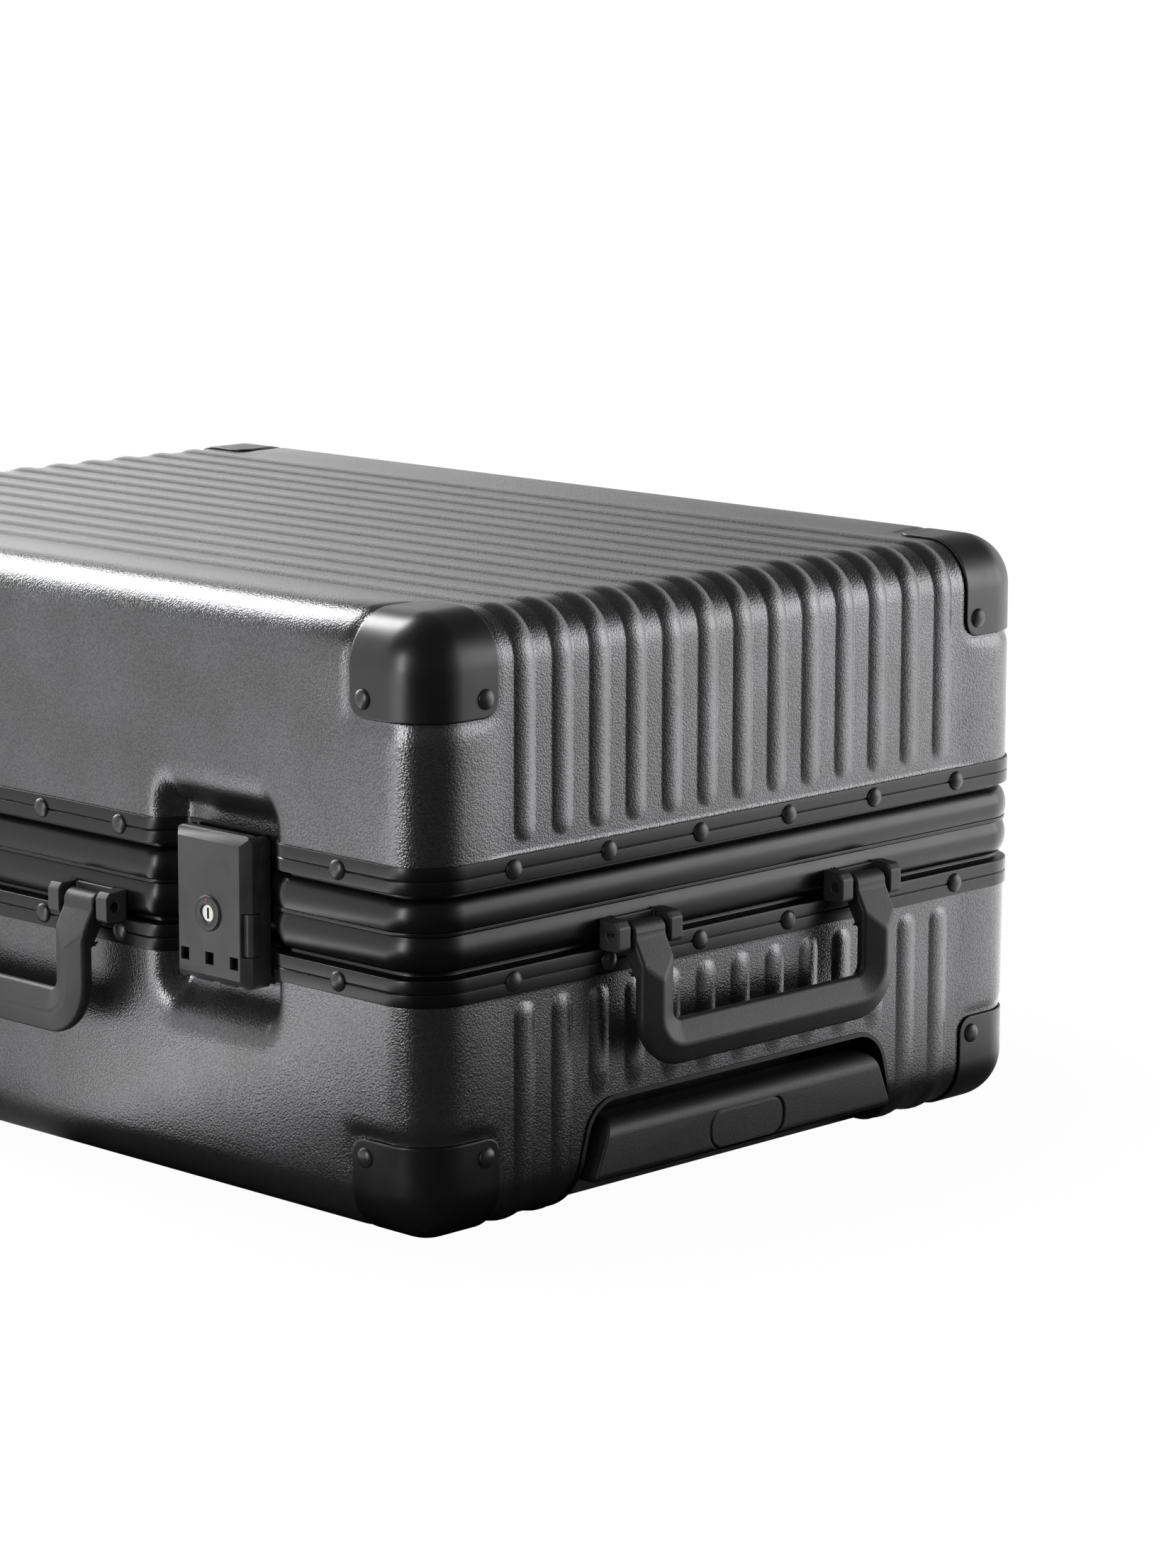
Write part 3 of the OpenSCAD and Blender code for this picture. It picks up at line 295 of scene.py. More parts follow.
def leather(tree, shader, at, size, depth, low, high):
    """Moulded pebbles of a size and depth in mm, with a finer grain on them; the colour is also
    lightened and darkened with their height between two factors, as painted glints and shade."""
    cells = node(tree, "ShaderNodeTexVoronoi",
                 {"Vector": at, "Scale": 1000 / size, "Smoothness": 0.6}, feature="SMOOTH_F1")
    grit = cloud(tree, at, 2200 / size, Detail=1.0)
    height = calc(tree, "MULTIPLY_ADD", grit, GRIT, cells.outputs[0])
    bumped(tree, shader, height, depth, invert=True)
    # painted glints and shade: the base colour scaled by the height of the pebbles and grain
    painted_glints = node(tree, "ShaderNodeVectorMath",
                {0: shader.inputs["Base Color"].links[0].from_socket,
                 "Scale": mapped(tree, height, 0.25, 0.85, high, low)}, operation="SCALE")
    feed(tree, painted_glints.outputs[0], shader, "Base Color")


def grained(tree, shader, at, size, depth):
    """Fine even grain from a textured mould or a powder coat, its size and depth in mm."""
    bumped(tree, shader, cloud(tree, at, 1000 / size, Detail=2.0, Roughness=0.6), depth)


def drawn(tree, shader, at, low, high):
    """Fine lines along a drawn tube, which runs along X."""
    stretched = node(tree, "ShaderNodeMapping", {"Vector": at, "Scale": (4.0, 900.0, 900.0)})
    feed(tree, mapped(tree, cloud(tree, stretched.outputs[0], 2.0), 0.0, 1.0, low, high), shader,
         "Roughness")


def woven(tree, shader, at, thread, depth, low, high):
    """Plain weave of two thread sets at a spacing in mm, darker where the threads dip, as painted
    shade in the weave's hollows.
    """
    split = node(tree, "ShaderNodeSeparateXYZ", {0: at})
    sines = [calc(tree, "SINE", calc(tree, "MULTIPLY", split.outputs[axis],
                                     1000 * math.pi / thread)) for axis in (0, 1)]
    height = calc(tree, "ABSOLUTE", calc(tree, "MULTIPLY", *sines))
    bumped(tree, shader, height, depth)
    # painted shade: the colour darkens towards the low places of the weave
    tones = node(tree, "ShaderNodeMix", {0: height, 6: linear(low), 7: linear(high)},
                 data_type="RGBA")
    feed(tree, tones.outputs[2], shader, "Base Color")


def rough(value, **others):
    return {"Roughness": value, **{key.replace("_", " "): v for key, v in others.items()}}


# name, colour or the look that sets it, shader values, then patterns with their values
SURFACES = (
    # Polycarbonate with a mica pigment, moulded with a leather grain: the mica gives a dark
    # metal sheen, and the fine pebbles of about 0.85 mm catch small glints; their colour is also
    # lightened and darkened by 0.8 to 1.25 as painted glints and shade.
    ("Moulded polycarbonate, leather grain", "shell_colour", rough(0.25, IOR=1.52, Metallic=0.9),
     (mottle, "#606061", "#68686a", 38), (leather, 0.85, 0.1, 0.8, 1.25)),
    # Extruded aluminium with a black satin coat: soft and even.
    (COAT, "frame_colour", rough(0.28, IOR=1.42),
     (mottle, "#080809", "#0c0c0d", 60), (uneven_gloss, 0.24, 0.31, 25)),
    # Nylon corner guard from a polished mould: smooth satin black.
    ("Moulded nylon, satin", "guard_colour", rough(0.33, IOR=1.5),
     (mottle, "#0e0e0f", "#121213", 45), (uneven_gloss, 0.3, 0.37, 12)),
    # Steel rivet, painted black after heading: a little lighter than the strip.
    ("Headed steel rivet, black paint", "rivet_colour", rough(0.34, IOR=1.5),
     (mottle, "#1d1d1e", "#252526", 6), (uneven_gloss, 0.28, 0.4, 4)),
    # Zinc die casting under a fine structured paint: dark grey, matt.
    (CAST, "lock_colour", rough(0.45, IOR=1.5),
     (mottle, "#28282a", "#2f2f31", 9), (grained, 0.55, 0.07)),
    # Polypropylene handle from an eroded mould: matt, sandy.
    (SAND, "handle_colour", rough(0.47, IOR=1.49),
     (mottle, "#1c1c1d", "#212123", 14), (grained, 0.6, 0.1)),
    # ABS fittings from a smooth mould: near black, even.
    (ABS, "fitting_colour", rough(0.38, IOR=1.53),
     (mottle, "#0b0b0c", "#101011", 30), (uneven_gloss, 0.34, 0.44, 8)),
    # Seal and thermoplastic rubber tyre: matt, dusty black.
    ("Extruded EPDM rubber", "#0b0b0b", rough(0.62, IOR=1.52),
     (mottle, "#0a0a0a", "#111111", 5), (grained, 0.5, 0.02)),
    ("Moulded TPR tyre", "#0b0b0b", rough(0.58, IOR=1.52),
     (mottle, "#0a0a0a", "#111111", 5), (grained, 0.5, 0.02)),
    ("Drawn aluminium, anodised", "#8f9195", rough(0.3, Metallic=1.0), (drawn, 0.22, 0.4)),
    (STEEL, "#8a8a8c", rough(0.32, Metallic=1.0), (uneven_gloss, 0.25, 0.42, 1.5)),
    (NICKEL, "#c9c9c6", rough(0.24, Metallic=1.0), (uneven_gloss, 0.18, 0.32, 1.0)),
    # Number dial, with light printed figures.
    (ACETAL, "#141415", rough(0.35, IOR=1.48), (mottle, "#121213", "#19191a", 2)),
    (PRINT, "#c8c8c4", rough(0.5), (mottle, "#bcbcb8", "#d0d0cc", 1)),
    ("Red enamel dot", "#b3202c", rough(0.35), (mottle, "#a81c28", "#bd2733", 1)),
    # Lining: dark grey with a soft sheen.
    (CLOTH, "lining_colour", rough(0.78, Sheen_Weight=0.25, Sheen_Roughness=0.4),
     (woven, 1.6, 0.12, "#2b2c30", "#46474d")),
    (WEBBING, "#141415", rough(0.7, Sheen_Weight=0.2, Sheen_Roughness=0.5),
     (woven, 1.3, 0.2, "#0d0d0e", "#222224")),
    ("Moulded nylon wheel", "#2c2c2e", rough(0.4), (mottle, "#282829", "#323234", 8)),
)


def make_materials(look):
    for name, colour, values, *patterns in SURFACES:
        shade = colour if colour.startswith("#") else getattr(look, colour)
        tree, shader, at = surface(name, shade, values)
        for pattern, *settings in patterns:
            pattern(tree, shader, at, *settings)


# ---------- stage ----------

# light from the studio for matt pieces, and the level of its ceiling
MATT_LEVEL, CEILING_LEVEL = 0.35, 0.1
CAMERA_AT = (1.58784, -1.45862, 0.53573)
CAMERA_AZIMUTH, CAMERA_DIP, CAMERA_ROLL = 45.715, 10.643, 0.15


def area_lamp(name, at, aim, width, height, power):
    lamp = bpy.data.lights.new(name, "AREA")
    lamp.shape = "RECTANGLE"
    lamp.size, lamp.size_y, lamp.energy = width, height, power
    obj = new_object(name, lamp)
    obj.location = at
    obj.rotation_mode = "QUATERNION"
    obj.rotation_quaternion = (Vector(aim) - Vector(at)).to_track_quat("-Z", "Y")
    return obj


def make_camera():
    data = bpy.data.cameras.new("Camera")
    data.sensor_width = 36.0
    data.lens = 111.87
    data.clip_start, data.clip_end = 0.1, 30.0
    camera = new_object("Camera", data)
    a, e = math.radians(CAMERA_AZIMUTH), math.radians(CAMERA_DIP)
    ahead = Vector((-math.cos(a) * math.cos(e), math.sin(a) * math.cos(e), -math.sin(e)))
    right = ahead.cross(Vector((0, 0, 1))).normalized()
    up = right.cross(ahead)
    roll = math.radians(CAMERA_ROLL)
    turned = right * math.cos(roll) + up * math.sin(roll)
    up = turned.cross(ahead)
    matrix = Matrix((turned, up, -ahead)).transposed().to_4x4()
    matrix.translation = CAMERA_AT
    camera.matrix_world = matrix
    bpy.context.scene.camera = camera


# brightness of the studio round the case, by compass direction in degrees from +X
STUDIO = [(-180, 0.9), (-150, 0.95), (-120, 1.2), (-104, 1.7), (-96, 3.6), (-89, 3.8),
          (-82, 0.02), (-40, 0.02), (0, 0.03), (14, 0.3), (28, 0.7), (38, 2.0), (60, 2.5),
          (95, 1.6), (124, 0.5), (134, 0.6), (143, 1.7), (156, 1.5), (180, 0.9)]


def studio_ring(tree, direction):
    """Brightness of the studio's walls and paper in a compass direction, and the height."""
    split = node(tree, "ShaderNodeSeparateXYZ", {0: direction})
    angle = calc(tree, "ARCTAN2", split.outputs[1], split.outputs[0])
    turn = calc(tree, "MULTIPLY_ADD", angle, 0.5 / math.pi, 0.5)
    shade = node(tree, "ShaderNodeValToRGB", {"Fac": turn})
    stops_at = shade.color_ramp.elements
    peak = max(level for _, level in STUDIO)
    for i, (degrees, level) in enumerate(STUDIO):
        at = degrees / 360 + 0.5
        stop = stops_at[i] if i < 2 else stops_at.new(at)
        stop.position = at
        stop.color = (*[level / peak] * 3, 1.0)
    return calc(tree, "MULTIPLY", shade.outputs[0], peak), split.outputs[2]


def ray_kinds(tree):
    """1 for glossy and transmitted rays, which mirror the studio, and 1 for camera rays."""
    path = node(tree, "ShaderNodeLightPath")
    return (calc(tree, "MAXIMUM", path.outputs["Is Glossy Ray"],
                 path.outputs["Is Transmission Ray"]), path.outputs["Is Camera Ray"])


def make_world(look):
    """White for what the camera sees, and a soft dark-fronted studio for the lighting."""
    world = bpy.data.worlds.new("Studio")
    bpy.context.scene.world = world
    tree = fresh_tree(world)
    mirrored, straight = ray_kinds(tree)
    ring, height = studio_ring(tree, node(tree, "ShaderNodeTexCoord").outputs["Generated"])
    # the walls end in a dark ceiling
    wall = mapped(tree, height, 0.3, 0.62, 1.0, 0.0, interpolation_type="SMOOTHSTEP")
    ceiling = calc(tree, "MAXIMUM", calc(tree, "MULTIPLY", ring, wall), CEILING_LEVEL)
    shown = calc(tree, "MULTIPLY", ceiling, look.studio_level)
    soft = node(tree, "ShaderNodeMix", {0: mirrored, 2: MATT_LEVEL, 3: shown})
    level = node(tree, "ShaderNodeMix", {0: straight, 2: soft.outputs[0], 3: 1.0})
    back = node(tree, "ShaderNodeBackground", {"Color": (1, 1, 1, 1),
                                               "Strength": level.outputs[0]})
    node(tree, "ShaderNodeOutputWorld", {0: back.outputs[0]})


FLOOR_HALF_MM, FLOOR_Z = 3000.0, -0.05


def make_floor(look):
    floor = mesh_object("floor", [(x * FLOOR_HALF_MM, y * FLOOR_HALF_MM, FLOOR_Z)
                                  for x, y in ((-1, -1), (1, -1), (1, 1), (-1, 1))],
                        [(0, 1, 2, 3)])
    mat = bpy.data.materials.new("Paper floor")
    tree = fresh_tree(mat)
    mirrored, straight = ray_kinds(tree)

    def mixed(share, first, second):
        return node(tree, "ShaderNodeMixShader", {0: share, 1: first, 2: second}).outputs[0]

    def glow(strength):
        return node(tree, "ShaderNodeEmission", {"Color": (1, 1, 1, 1),
                                                 "Strength": strength}).outputs[0]

    pale = node(tree, "ShaderNodeBsdfDiffuse", {"Color": linear("#f2f2f2")}).outputs[0]
    # the shadow is kept near the case, and the paper runs out into white
    at = node(tree, "ShaderNodeTexCoord").outputs["Object"]
    away = node(tree, "ShaderNodeVectorMath", {0: at}, operation="LENGTH")
    white = mapped(tree, away.outputs["Value"], 0.3, 0.42, 0.97, 1.0,
                   interpolation_type="SMOOTHSTEP")
    # glossy pieces see the paper as a glow at the studio's brightness, with a painted shadow that
    # darkens it beside the case
    ring, _ = studio_ring(tree, at)
    outside = node(tree, "ShaderNodeVectorMath", {0: at}, operation="ABSOLUTE")
    beyond = node(tree, "ShaderNodeVectorMath",
                  {0: outside.outputs[0], 1: (HALF_L * MM, HALF_W * MM, 0)},
                  operation="SUBTRACT")
    split = node(tree, "ShaderNodeSeparateXYZ", {0: beyond.outputs[0]})
    gap = calc(tree, "MAXIMUM", split.outputs[0], split.outputs[1])
    # painted shadow: 0.04 at the case's sides, rising to the studio level 0.12 m out
    near = mapped(tree, gap, 0.0, 0.12, 0.04, look.studio_level,
                  interpolation_type="SMOOTHSTEP")
    seen = mixed(mirrored, pale, glow(calc(tree, "MULTIPLY", ring, near)))
    node(tree, "ShaderNodeOutputMaterial",
         {0: mixed(straight, seen, mixed(white, pale, glow(1.0)))})
    floor.data.materials.append(mat)


# ---------- moulded shells ----------

RECESS_FACE_END = 219.25
RECESS_WALL_H = 69.75
RECESS_HALF, RECESS_HIGH, RECESS_R, RECESS_SLANT = 101.0, 46.5, 18.0, math.radians(15)
RIB_TIP_H = 38.4
RIB_COUNT = 6
BEND_LENGTH = EDGE_R * math.pi / 2
# a pocket: where its lip ends and how deep that is, where its foot begins, the run of its
# tapered sides and top, and how far up it reaches
LIP_END, LIP_DEPTH, FOOT_END = 34.2, 4.4, 29.85
TAPER, TAPER_H = 16.75, 24.0
POCKET_REACH = {"front": 53.0, "back": 59.0}
# where the flats ease out: over the strip, and towards the caster housings
STRIP_EASE, HOUSING_EASE, HOUSING_EASE_Y = (26.5, 28.6), (240, 262), (92, 100)
HOUSING_IN = 108.0
# seat of a corner guard and the soft ledge round it; the reach of the recess's cutter in X
SEAT_DEPTH, LEDGE, LEDGE_DEPTH = 2.0, (-6.2, -1.2), 1.15
RECESS_CUT = (229, 262)


def ramp(value, start, end):
    """Rises smoothly from 0 to 1 between two values."""
    t = np.clip((value - start) / (end - start), 0, 1)
    return t * t * (3 - 2 * t)


def rib_rise(d, width, height):
    """Height of a rib at a distance from its middle line: the top of a circle."""
    radius = (width ** 2 / 4 + height ** 2) / (2 * height)
    return np.sqrt(radius ** 2 - np.minimum(np.abs(d), width / 2) ** 2) - radius + height


def pocket_plan(x):
    """Depth of a lock pocket against the distance from its middle."""
    x = np.abs(x)
    convex = LIP_R - np.sqrt(np.maximum(
        LIP_R ** 2 - np.clip(POCKET_HALF - x, 0, POCKET_HALF - LIP_END) ** 2, 0))
    slope = LIP_DEPTH + (LIP_END - x) * 4 / 3
    concave = POCKET_D - FOOT_R + np.sqrt(np.maximum(
        FOOT_R ** 2 - np.clip(x - FLOOR_HALF, 0, FOOT_END - FLOOR_HALF) ** 2, 0))
    return np.where(x > LIP_END, convex, np.where(x > FOOT_END, slope, concave))


def sunk(p, n, s, half, sizes):
    """How far each point of the shell lies inside the case's outer faces, in mm."""
    x, y, h = p[:, 0], p[:, 1], p[:, 2]
    pitch, width, height = sizes
    number = np.clip(np.round(y / pitch), -RIB_COUNT, RIB_COUNT)
    mid_y = np.abs(number * pitch)
    # the flats between the ribs lie a rib's height in, and ease out to the case's edges,
    # the strip and the caster housings
    flat = height * (1 - ramp(np.abs(y), RIB_COUNT * pitch + width / 2 + 1, HALF_W - 25))
    flat = flat * np.where(np.abs(n[:, 0]) > 0.99, ramp(h, *STRIP_EASE), 1)
    flat = flat * (1 - ramp(-s, *HOUSING_EASE) * ramp(np.abs(y), *HOUSING_EASE_Y))
    # distance along the case past the end of the rib's middle line
    past = np.maximum(np.abs(s) - (BEND_LENGTH + FLAT_X + BEND_H - RIB_TIP_H), 0)
    if half == "back":
        cut = (s > 0) & (mid_y < RECESS_HALF)
        wall_s = FLAT_X + BEND_LENGTH + (BEND_H - RECESS_WALL_H)
        past = np.where(cut, np.maximum(past, np.minimum(s - RECESS_FACE_END, wall_s - s)), past)
    near_caster = (s < 0) & (mid_y + width / 2 + 1 > HOUSING_IN)
    past = np.where(near_caster, np.maximum(past, -s - FLAT_X), past)
    reach = np.hypot(y - number * pitch, np.maximum(past, 0))
    out = np.maximum(flat - rib_rise(reach, width, height), 0)
    out = np.where(np.isfinite(s), out, 0)
    # pockets on the lock side
    lx = np.abs(x) - LOCK_X
    from_side = 1 - np.clip((POCKET_HALF - np.abs(lx)) / TAPER, 0, 1)
    from_top = 1 - np.clip((POCKET_REACH[half] + 2 - h) / TAPER_H, 0, 1)
    inward = np.clip(1 - np.hypot(from_side, from_top), 0, 1)
    pocket = pocket_plan(POCKET_HALF - TAPER * inward)
    on_side = (n[:, 1] < -0.99) & (np.abs(lx) < POCKET_HALF)
    out = out + np.where(on_side, pocket, 0)
    # seat of the corner guards, with a soft ledge round it
    e = np.minimum(np.minimum(np.abs(x) - GUARD_X, np.abs(y) - GUARD_Y), h - GUARD_H)
    out = np.maximum(out, LEDGE_DEPTH * ramp(e, *LEDGE))
    return np.where(e > -0.2, SEAT_DEPTH, out)


def spread(lo, hi, step):
    count = max(1, int(math.ceil((hi - lo) / step)))
    return [lo + (hi - lo) * i / count for i in range(count + 1)]


def stops(*lists):
    """Sorted stops, those closer than 0.1 mm taken as one."""
    merged = []
    for value in sorted(v for part in lists for v in part):
        if not merged or value - merged[-1] > 0.1:
            merged.append(value)
    return merged


TAB_LINES = [-6.5, -4.2, -2.6, -1.4, -0.4, -0.05, 1.0, 3.0, 5.0, 7.0]


def fine_stops(pitch, width):
    """Stops along the length, across the width, up the walls and round the bends."""
    tab_x = [GUARD_X + t for t in TAB_LINES]
    tab_y = [GUARD_Y + t for t in TAB_LINES]
    pocket = [0, 9, 18, 23, 26.25, 27.6, 28.8, 29.85, 31.2, 32.7, 34.2, 35.8, 37.5, 39.2, 41, 43,
              44.6, 46]
    xs = [0, 40, 75, 221, 222.7, 224, 224.9, 225.6, 229] + tab_x
    xs += [LOCK_X + s * d for d in pocket for s in (-1, 1)]
    rel = [0, 0.1, 0.2, 0.29, 0.37, 0.44, 0.485, 0.515, 0.56]
    ys = [k * pitch + s * r * width for k in range(-RIB_COUNT, RIB_COUNT + 1) for r in rel
          for s in (-1, 1)]
    ys += [(k + 0.5) * pitch for k in range(-RIB_COUNT, RIB_COUNT)] + [136.5, -136.5, 155, -155]
    ys += tab_y + [-y for y in tab_y]
    hs = [RIM_H, 23, 26.4, 27.2, 28, 28.7, 30, 31.4, 32.4, 33, 33.9, 35.1, 36.6, RIB_TIP_H]
    hs += spread(40, 60, 2) + [62, 63.8, 64.5, 65.6, 67.3, 69.75, 74]
    hs += [GUARD_H + t for t in TAB_LINES] + [97, BEND_H]
    both = [-FLAT_X, FLAT_X] + [s * x for s in (1, -1) for x in xs if x < FLAT_X]
    across = [-FLAT_Y, FLAT_Y] + [y for y in ys if abs(y) < FLAT_Y]
    return stops(both), stops(across), stops(hs), 11


def coarse_stops(pitch, width):
    """Wider stops for the inner wall, which the lining covers."""
    pocket = [0, 24, 27, 29.85, 34.2, 38, 43]
    xs = [LOCK_X + d for d in pocket] + [LOCK_X - d for d in pocket] + [0, 60, 213, 216, FLAT_X]
    ys = [k * pitch + s * r * width for k in range(-RIB_COUNT, RIB_COUNT + 1)
          for r in (0, 0.25, 0.5) for s in (-1, 1)] + [140, -140, 144, -144, FLAT_Y, -FLAT_Y]
    hs = [RIM_H, 28, 32.5, RIB_TIP_H, 43, 50, 57, 64, 69.75, 82, 87, BEND_H]
    return stops(xs, [-x for x in xs]), stops(ys), stops(hs), 5


def round_tab(u, v):
    """Bends square grid lines round the corner of a guard's tab."""
    far = np.maximum(GUARD_R - u, GUARD_R - v)
    ray = np.hypot(GUARD_R - u, GUARD_R - v)
    inside = (u < GUARD_R) & (v < GUARD_R)
    weight = np.where(inside, np.clip((13.5 - far) / 5.5, 0, 1), 0)
    k = 1 + (far / np.maximum(ray, 1e-9) - 1) * weight
    return GUARD_R - (GUARD_R - u) * k, GUARD_R - (GUARD_R - v) * k


def shell_grid(xs, ys, hs, bend):
    """The rounded tray as a grid: points, normals, way along the ribs and faces."""
    made = [((x, y, MID_Z), (0, 0, 1), x) for x in xs for y in ys]
    index = {p[:2]: i for i, (p, _, _) in enumerate(made)}
    faces = [tuple(index[at] for at in ((x0, y0), (x1, y0), (x1, y1), (x0, y1)))
             for x0, x1 in zip(xs, xs[1:]) for y0, y1 in zip(ys, ys[1:])]
    corner = [math.radians(90 * i / bend) for i in range(1, bend)]
    turn = [(1, y, 1, 0) for y in ys] + [(1, FLAT_Y, math.cos(a), math.sin(a)) for a in corner]
    turn += [(x, FLAT_Y, 0, 1) for x in reversed(xs)]
    turn += [(-1, FLAT_Y, -math.sin(a), math.cos(a)) for a in corner]
    turn += [(-1, y, -1, 0) for y in reversed(ys)]
    turn += [(-1, -FLAT_Y, -math.cos(a), -math.sin(a)) for a in corner]
    turn += [(x, -FLAT_Y, 0, -1) for x in xs]
    turn += [(1, -FLAT_Y, math.sin(a), -math.cos(a)) for a in corner]
    # up the wall and over the bend: height, shares of the way out and up, way along the ribs
    levels = [(h, 1, 0, FLAT_X + BEND_LENGTH + BEND_H - h) for h in hs]
    levels += [(BEND_H + EDGE_R * math.sin(a), math.cos(a), math.sin(a),
                FLAT_X + EDGE_R * (math.pi / 2 - a)) for a in corner]
    rows = []
    for c, y, nx, ny in turn:
        cx = FLAT_X * c if abs(c) == 1 else c
        first = len(made)
        made += [((cx + EDGE_R * nx * out, y + EDGE_R * ny * out, h), (nx * out, ny * out, up),
                  nx * way if abs(nx) > 0.999 else float("inf")) for h, out, up, way in levels]
        rows.append([*range(first, len(made)), index[(cx, y)]])
    for row, after in zip(rows, rows[1:] + rows[:1]):
        for j in range(len(row) - 1):
            quad = (row[j], after[j], after[j + 1], row[j + 1])
            faces.append(quad[:3] if quad[2] == quad[3] else quad)
    return *(np.array(part, float) for part in zip(*made)), faces


def bend_tabs(p, n):
    """Moves grid points so that their lines follow the rounded tabs of the guards."""
    q = p.copy()
    for first, second, third in ((0, 1, 2), (1, 2, 0), (0, 2, 1)):
        starts = {0: GUARD_X, 1: GUARD_Y, 2: GUARD_H}
        flat = np.abs(n[:, third]) > 0.999
        a, b = np.abs(p[:, first]), np.abs(p[:, second])
        u, v = round_tab(a - starts[first], b - starts[second])
        q[:, first] = np.where(flat, np.sign(p[:, first]) * (u + starts[first]), q[:, first])
        q[:, second] = np.where(flat, np.sign(p[:, second]) * (v + starts[second]), q[:, second])
    return q


def lift(points, half):
    """Half-case points, with height from the parting plane, as points of the whole case."""
    out = points.copy()
    out[:, 2] = MID_Z + out[:, 2] if half == "front" else MID_Z - out[:, 2]
    return out


def geometry_tree(name, *inputs):
    """Geometry Nodes with named number inputs: the tree and its input node."""
    tree = bpy.data.node_groups.new(name, "GeometryNodeTree")
    sockets = [("Geometry", "INPUT", "Geometry"), *[(i, "INPUT", "Float") for i in inputs],
               ("Geometry", "OUTPUT", "Geometry")]
    for label, way, kind in sockets:
        tree.interface.new_socket(label, in_out=way, socket_type="NodeSocket" + kind)
    return tree, node(tree, "NodeGroupInput")


def stored(tree, name, kind="FLOAT"):
    return node(tree, "GeometryNodeInputNamedAttribute", {"Name": name},
                data_type=kind).outputs[0]


def painted(tree, geometry, material):
    """Gives a tree's result its material and ends the tree."""
    paint = node(tree, "GeometryNodeSetMaterial", {"Geometry": geometry,
                                                   "Material": MATERIALS[material]})
    node(tree, "NodeGroupOutput", {0: paint.outputs[0]})
    return tree


def store(obj, name, values, kind="FLOAT"):
    """Keeps a number or a direction on each point of a mesh."""
    obj.data.attributes.new(name, kind, "POINT").data.foreach_set(
        "value" if kind == "FLOAT" else "vector", values)


def apply_tree(obj, tree, **values):
    """Runs a tree with its named inputs, and leaves a plain mesh."""
    modifier = modify(obj, tree.name, "NODES", node_group=tree)
    for entry in tree.interface.items_tree:
        if entry.name in values:
            modifier[entry.identifier] = values[entry.name]
    return settle(obj)


def mould_tree(material):
    """Geometry Nodes that press the flats and pockets into a plain tray."""
    tree, start = geometry_tree("Pressed shell", "Depth")
    depth = calc(tree, "MULTIPLY", stored(tree, "sunk"), start.outputs[1])
    offset = node(tree, "ShaderNodeVectorMath",
                  {0: stored(tree, "way_out", "FLOAT_VECTOR"), "Scale": depth},
                  operation="SCALE")
    moved = node(tree, "GeometryNodeSetPosition",
                 {"Geometry": start.outputs[0], "Offset": offset.outputs[0]})
    for name in ("sunk", "way_out"):
        moved = node(tree, "GeometryNodeRemoveAttribute",
                     {"Geometry": moved.outputs[0], "Name": name})
    return painted(tree, moved.outputs[0], material)


def build_shell(half, sizes, tree, outer=True):
    lists = fine_stops(*sizes[:2]) if outer else coarse_stops(*sizes[:2])
    points, normals, ways, faces = shell_grid(*lists)
    depth = sunk(points, normals, ways, half, sizes)
    if outer:
        points = bend_tabs(points, normals)
    else:
        depth = depth + WALL
    whole = lift(points, half)
    way = normals.copy()
    if half == "back":
        way[:, 2] *= -1
    if (half == "back") == outer:
        faces = [tuple(reversed(f)) for f in faces]
    obj = mesh_object(half + ("_outer" if outer else "_inner"), whole, faces)
    store(obj, "sunk", -depth * MM)
    store(obj, "way_out", way.ravel(), "FLOAT_VECTOR")
    return apply_tree(obj, tree, Depth=1.0)


def close_shell(half, sizes, tree):
    """Joins the outer and inner walls of a shell at their rim."""
    outer = build_shell(half, sizes, tree)
    inner = build_shell(half, sizes, tree, outer=False)
    with opened(outer) as work:
        work.from_mesh(inner.data)
        open_edges = [e for e in work.edges if e.is_boundary]
        bmesh.ops.bridge_loops(work, edges=open_edges)
        bmesh.ops.triangulate(work, faces=[f for f in work.faces if len(f.verts) > 4])
    bpy.data.objects.remove(inner)
    outer.name = half + "_shell_moulding"
    return outer


def recess_outline():
    """Outline of the trolley recess on the end wall, from one side of its foot to the other."""
    slant, r, low = RECESS_SLANT, RECESS_R, -6.0
    cz = RECESS_HIGH - r
    cy = RECESS_HALF - cz * math.tan(slant) - r / math.cos(slant)
    out = [(RECESS_HALF - low * math.tan(slant), low)]
    for i in range(13):
        a = slant + (math.pi / 2 - slant) * i / 12
        out.append((cy + r * math.cos(a), cz + r * math.sin(a)))
    return out + [(-y, z) for y, z in reversed(out)]


# ---------- operators ----------

class SuitcaseSizes(bpy.types.PropertyGroup):
    """Sizes that a user would change."""

    rib_pitch: bpy.props.FloatProperty(
        name="Rib pitch", description="Spacing of the raised ribs", default=0.0211,
        unit="LENGTH", subtype="DISTANCE")
    rib_width: bpy.props.FloatProperty(
        name="Rib width", description="Width of one rib at its foot", default=0.0118,
        unit="LENGTH", subtype="DISTANCE")
    rib_height: bpy.props.FloatProperty(
        name="Rib height", description="Height of one rib over the flats", default=0.0012,
        unit="LENGTH", subtype="DISTANCE")
    rivet_head: bpy.props.FloatProperty(
        name="Rivet head", description="Diameter of a rivet's domed head", default=0.0084,
        unit="LENGTH", subtype="DISTANCE")
    rivet_rise: bpy.props.FloatProperty(
        name="Rivet rise", description="Height of a rivet's domed head", default=0.0019,
        unit="LENGTH", subtype="DISTANCE")
    handle_ease: bpy.props.FloatProperty(
        name="Handle edges", description="Radius of the handles' eased edges", default=0.0015,
        unit="LENGTH", subtype="DISTANCE")


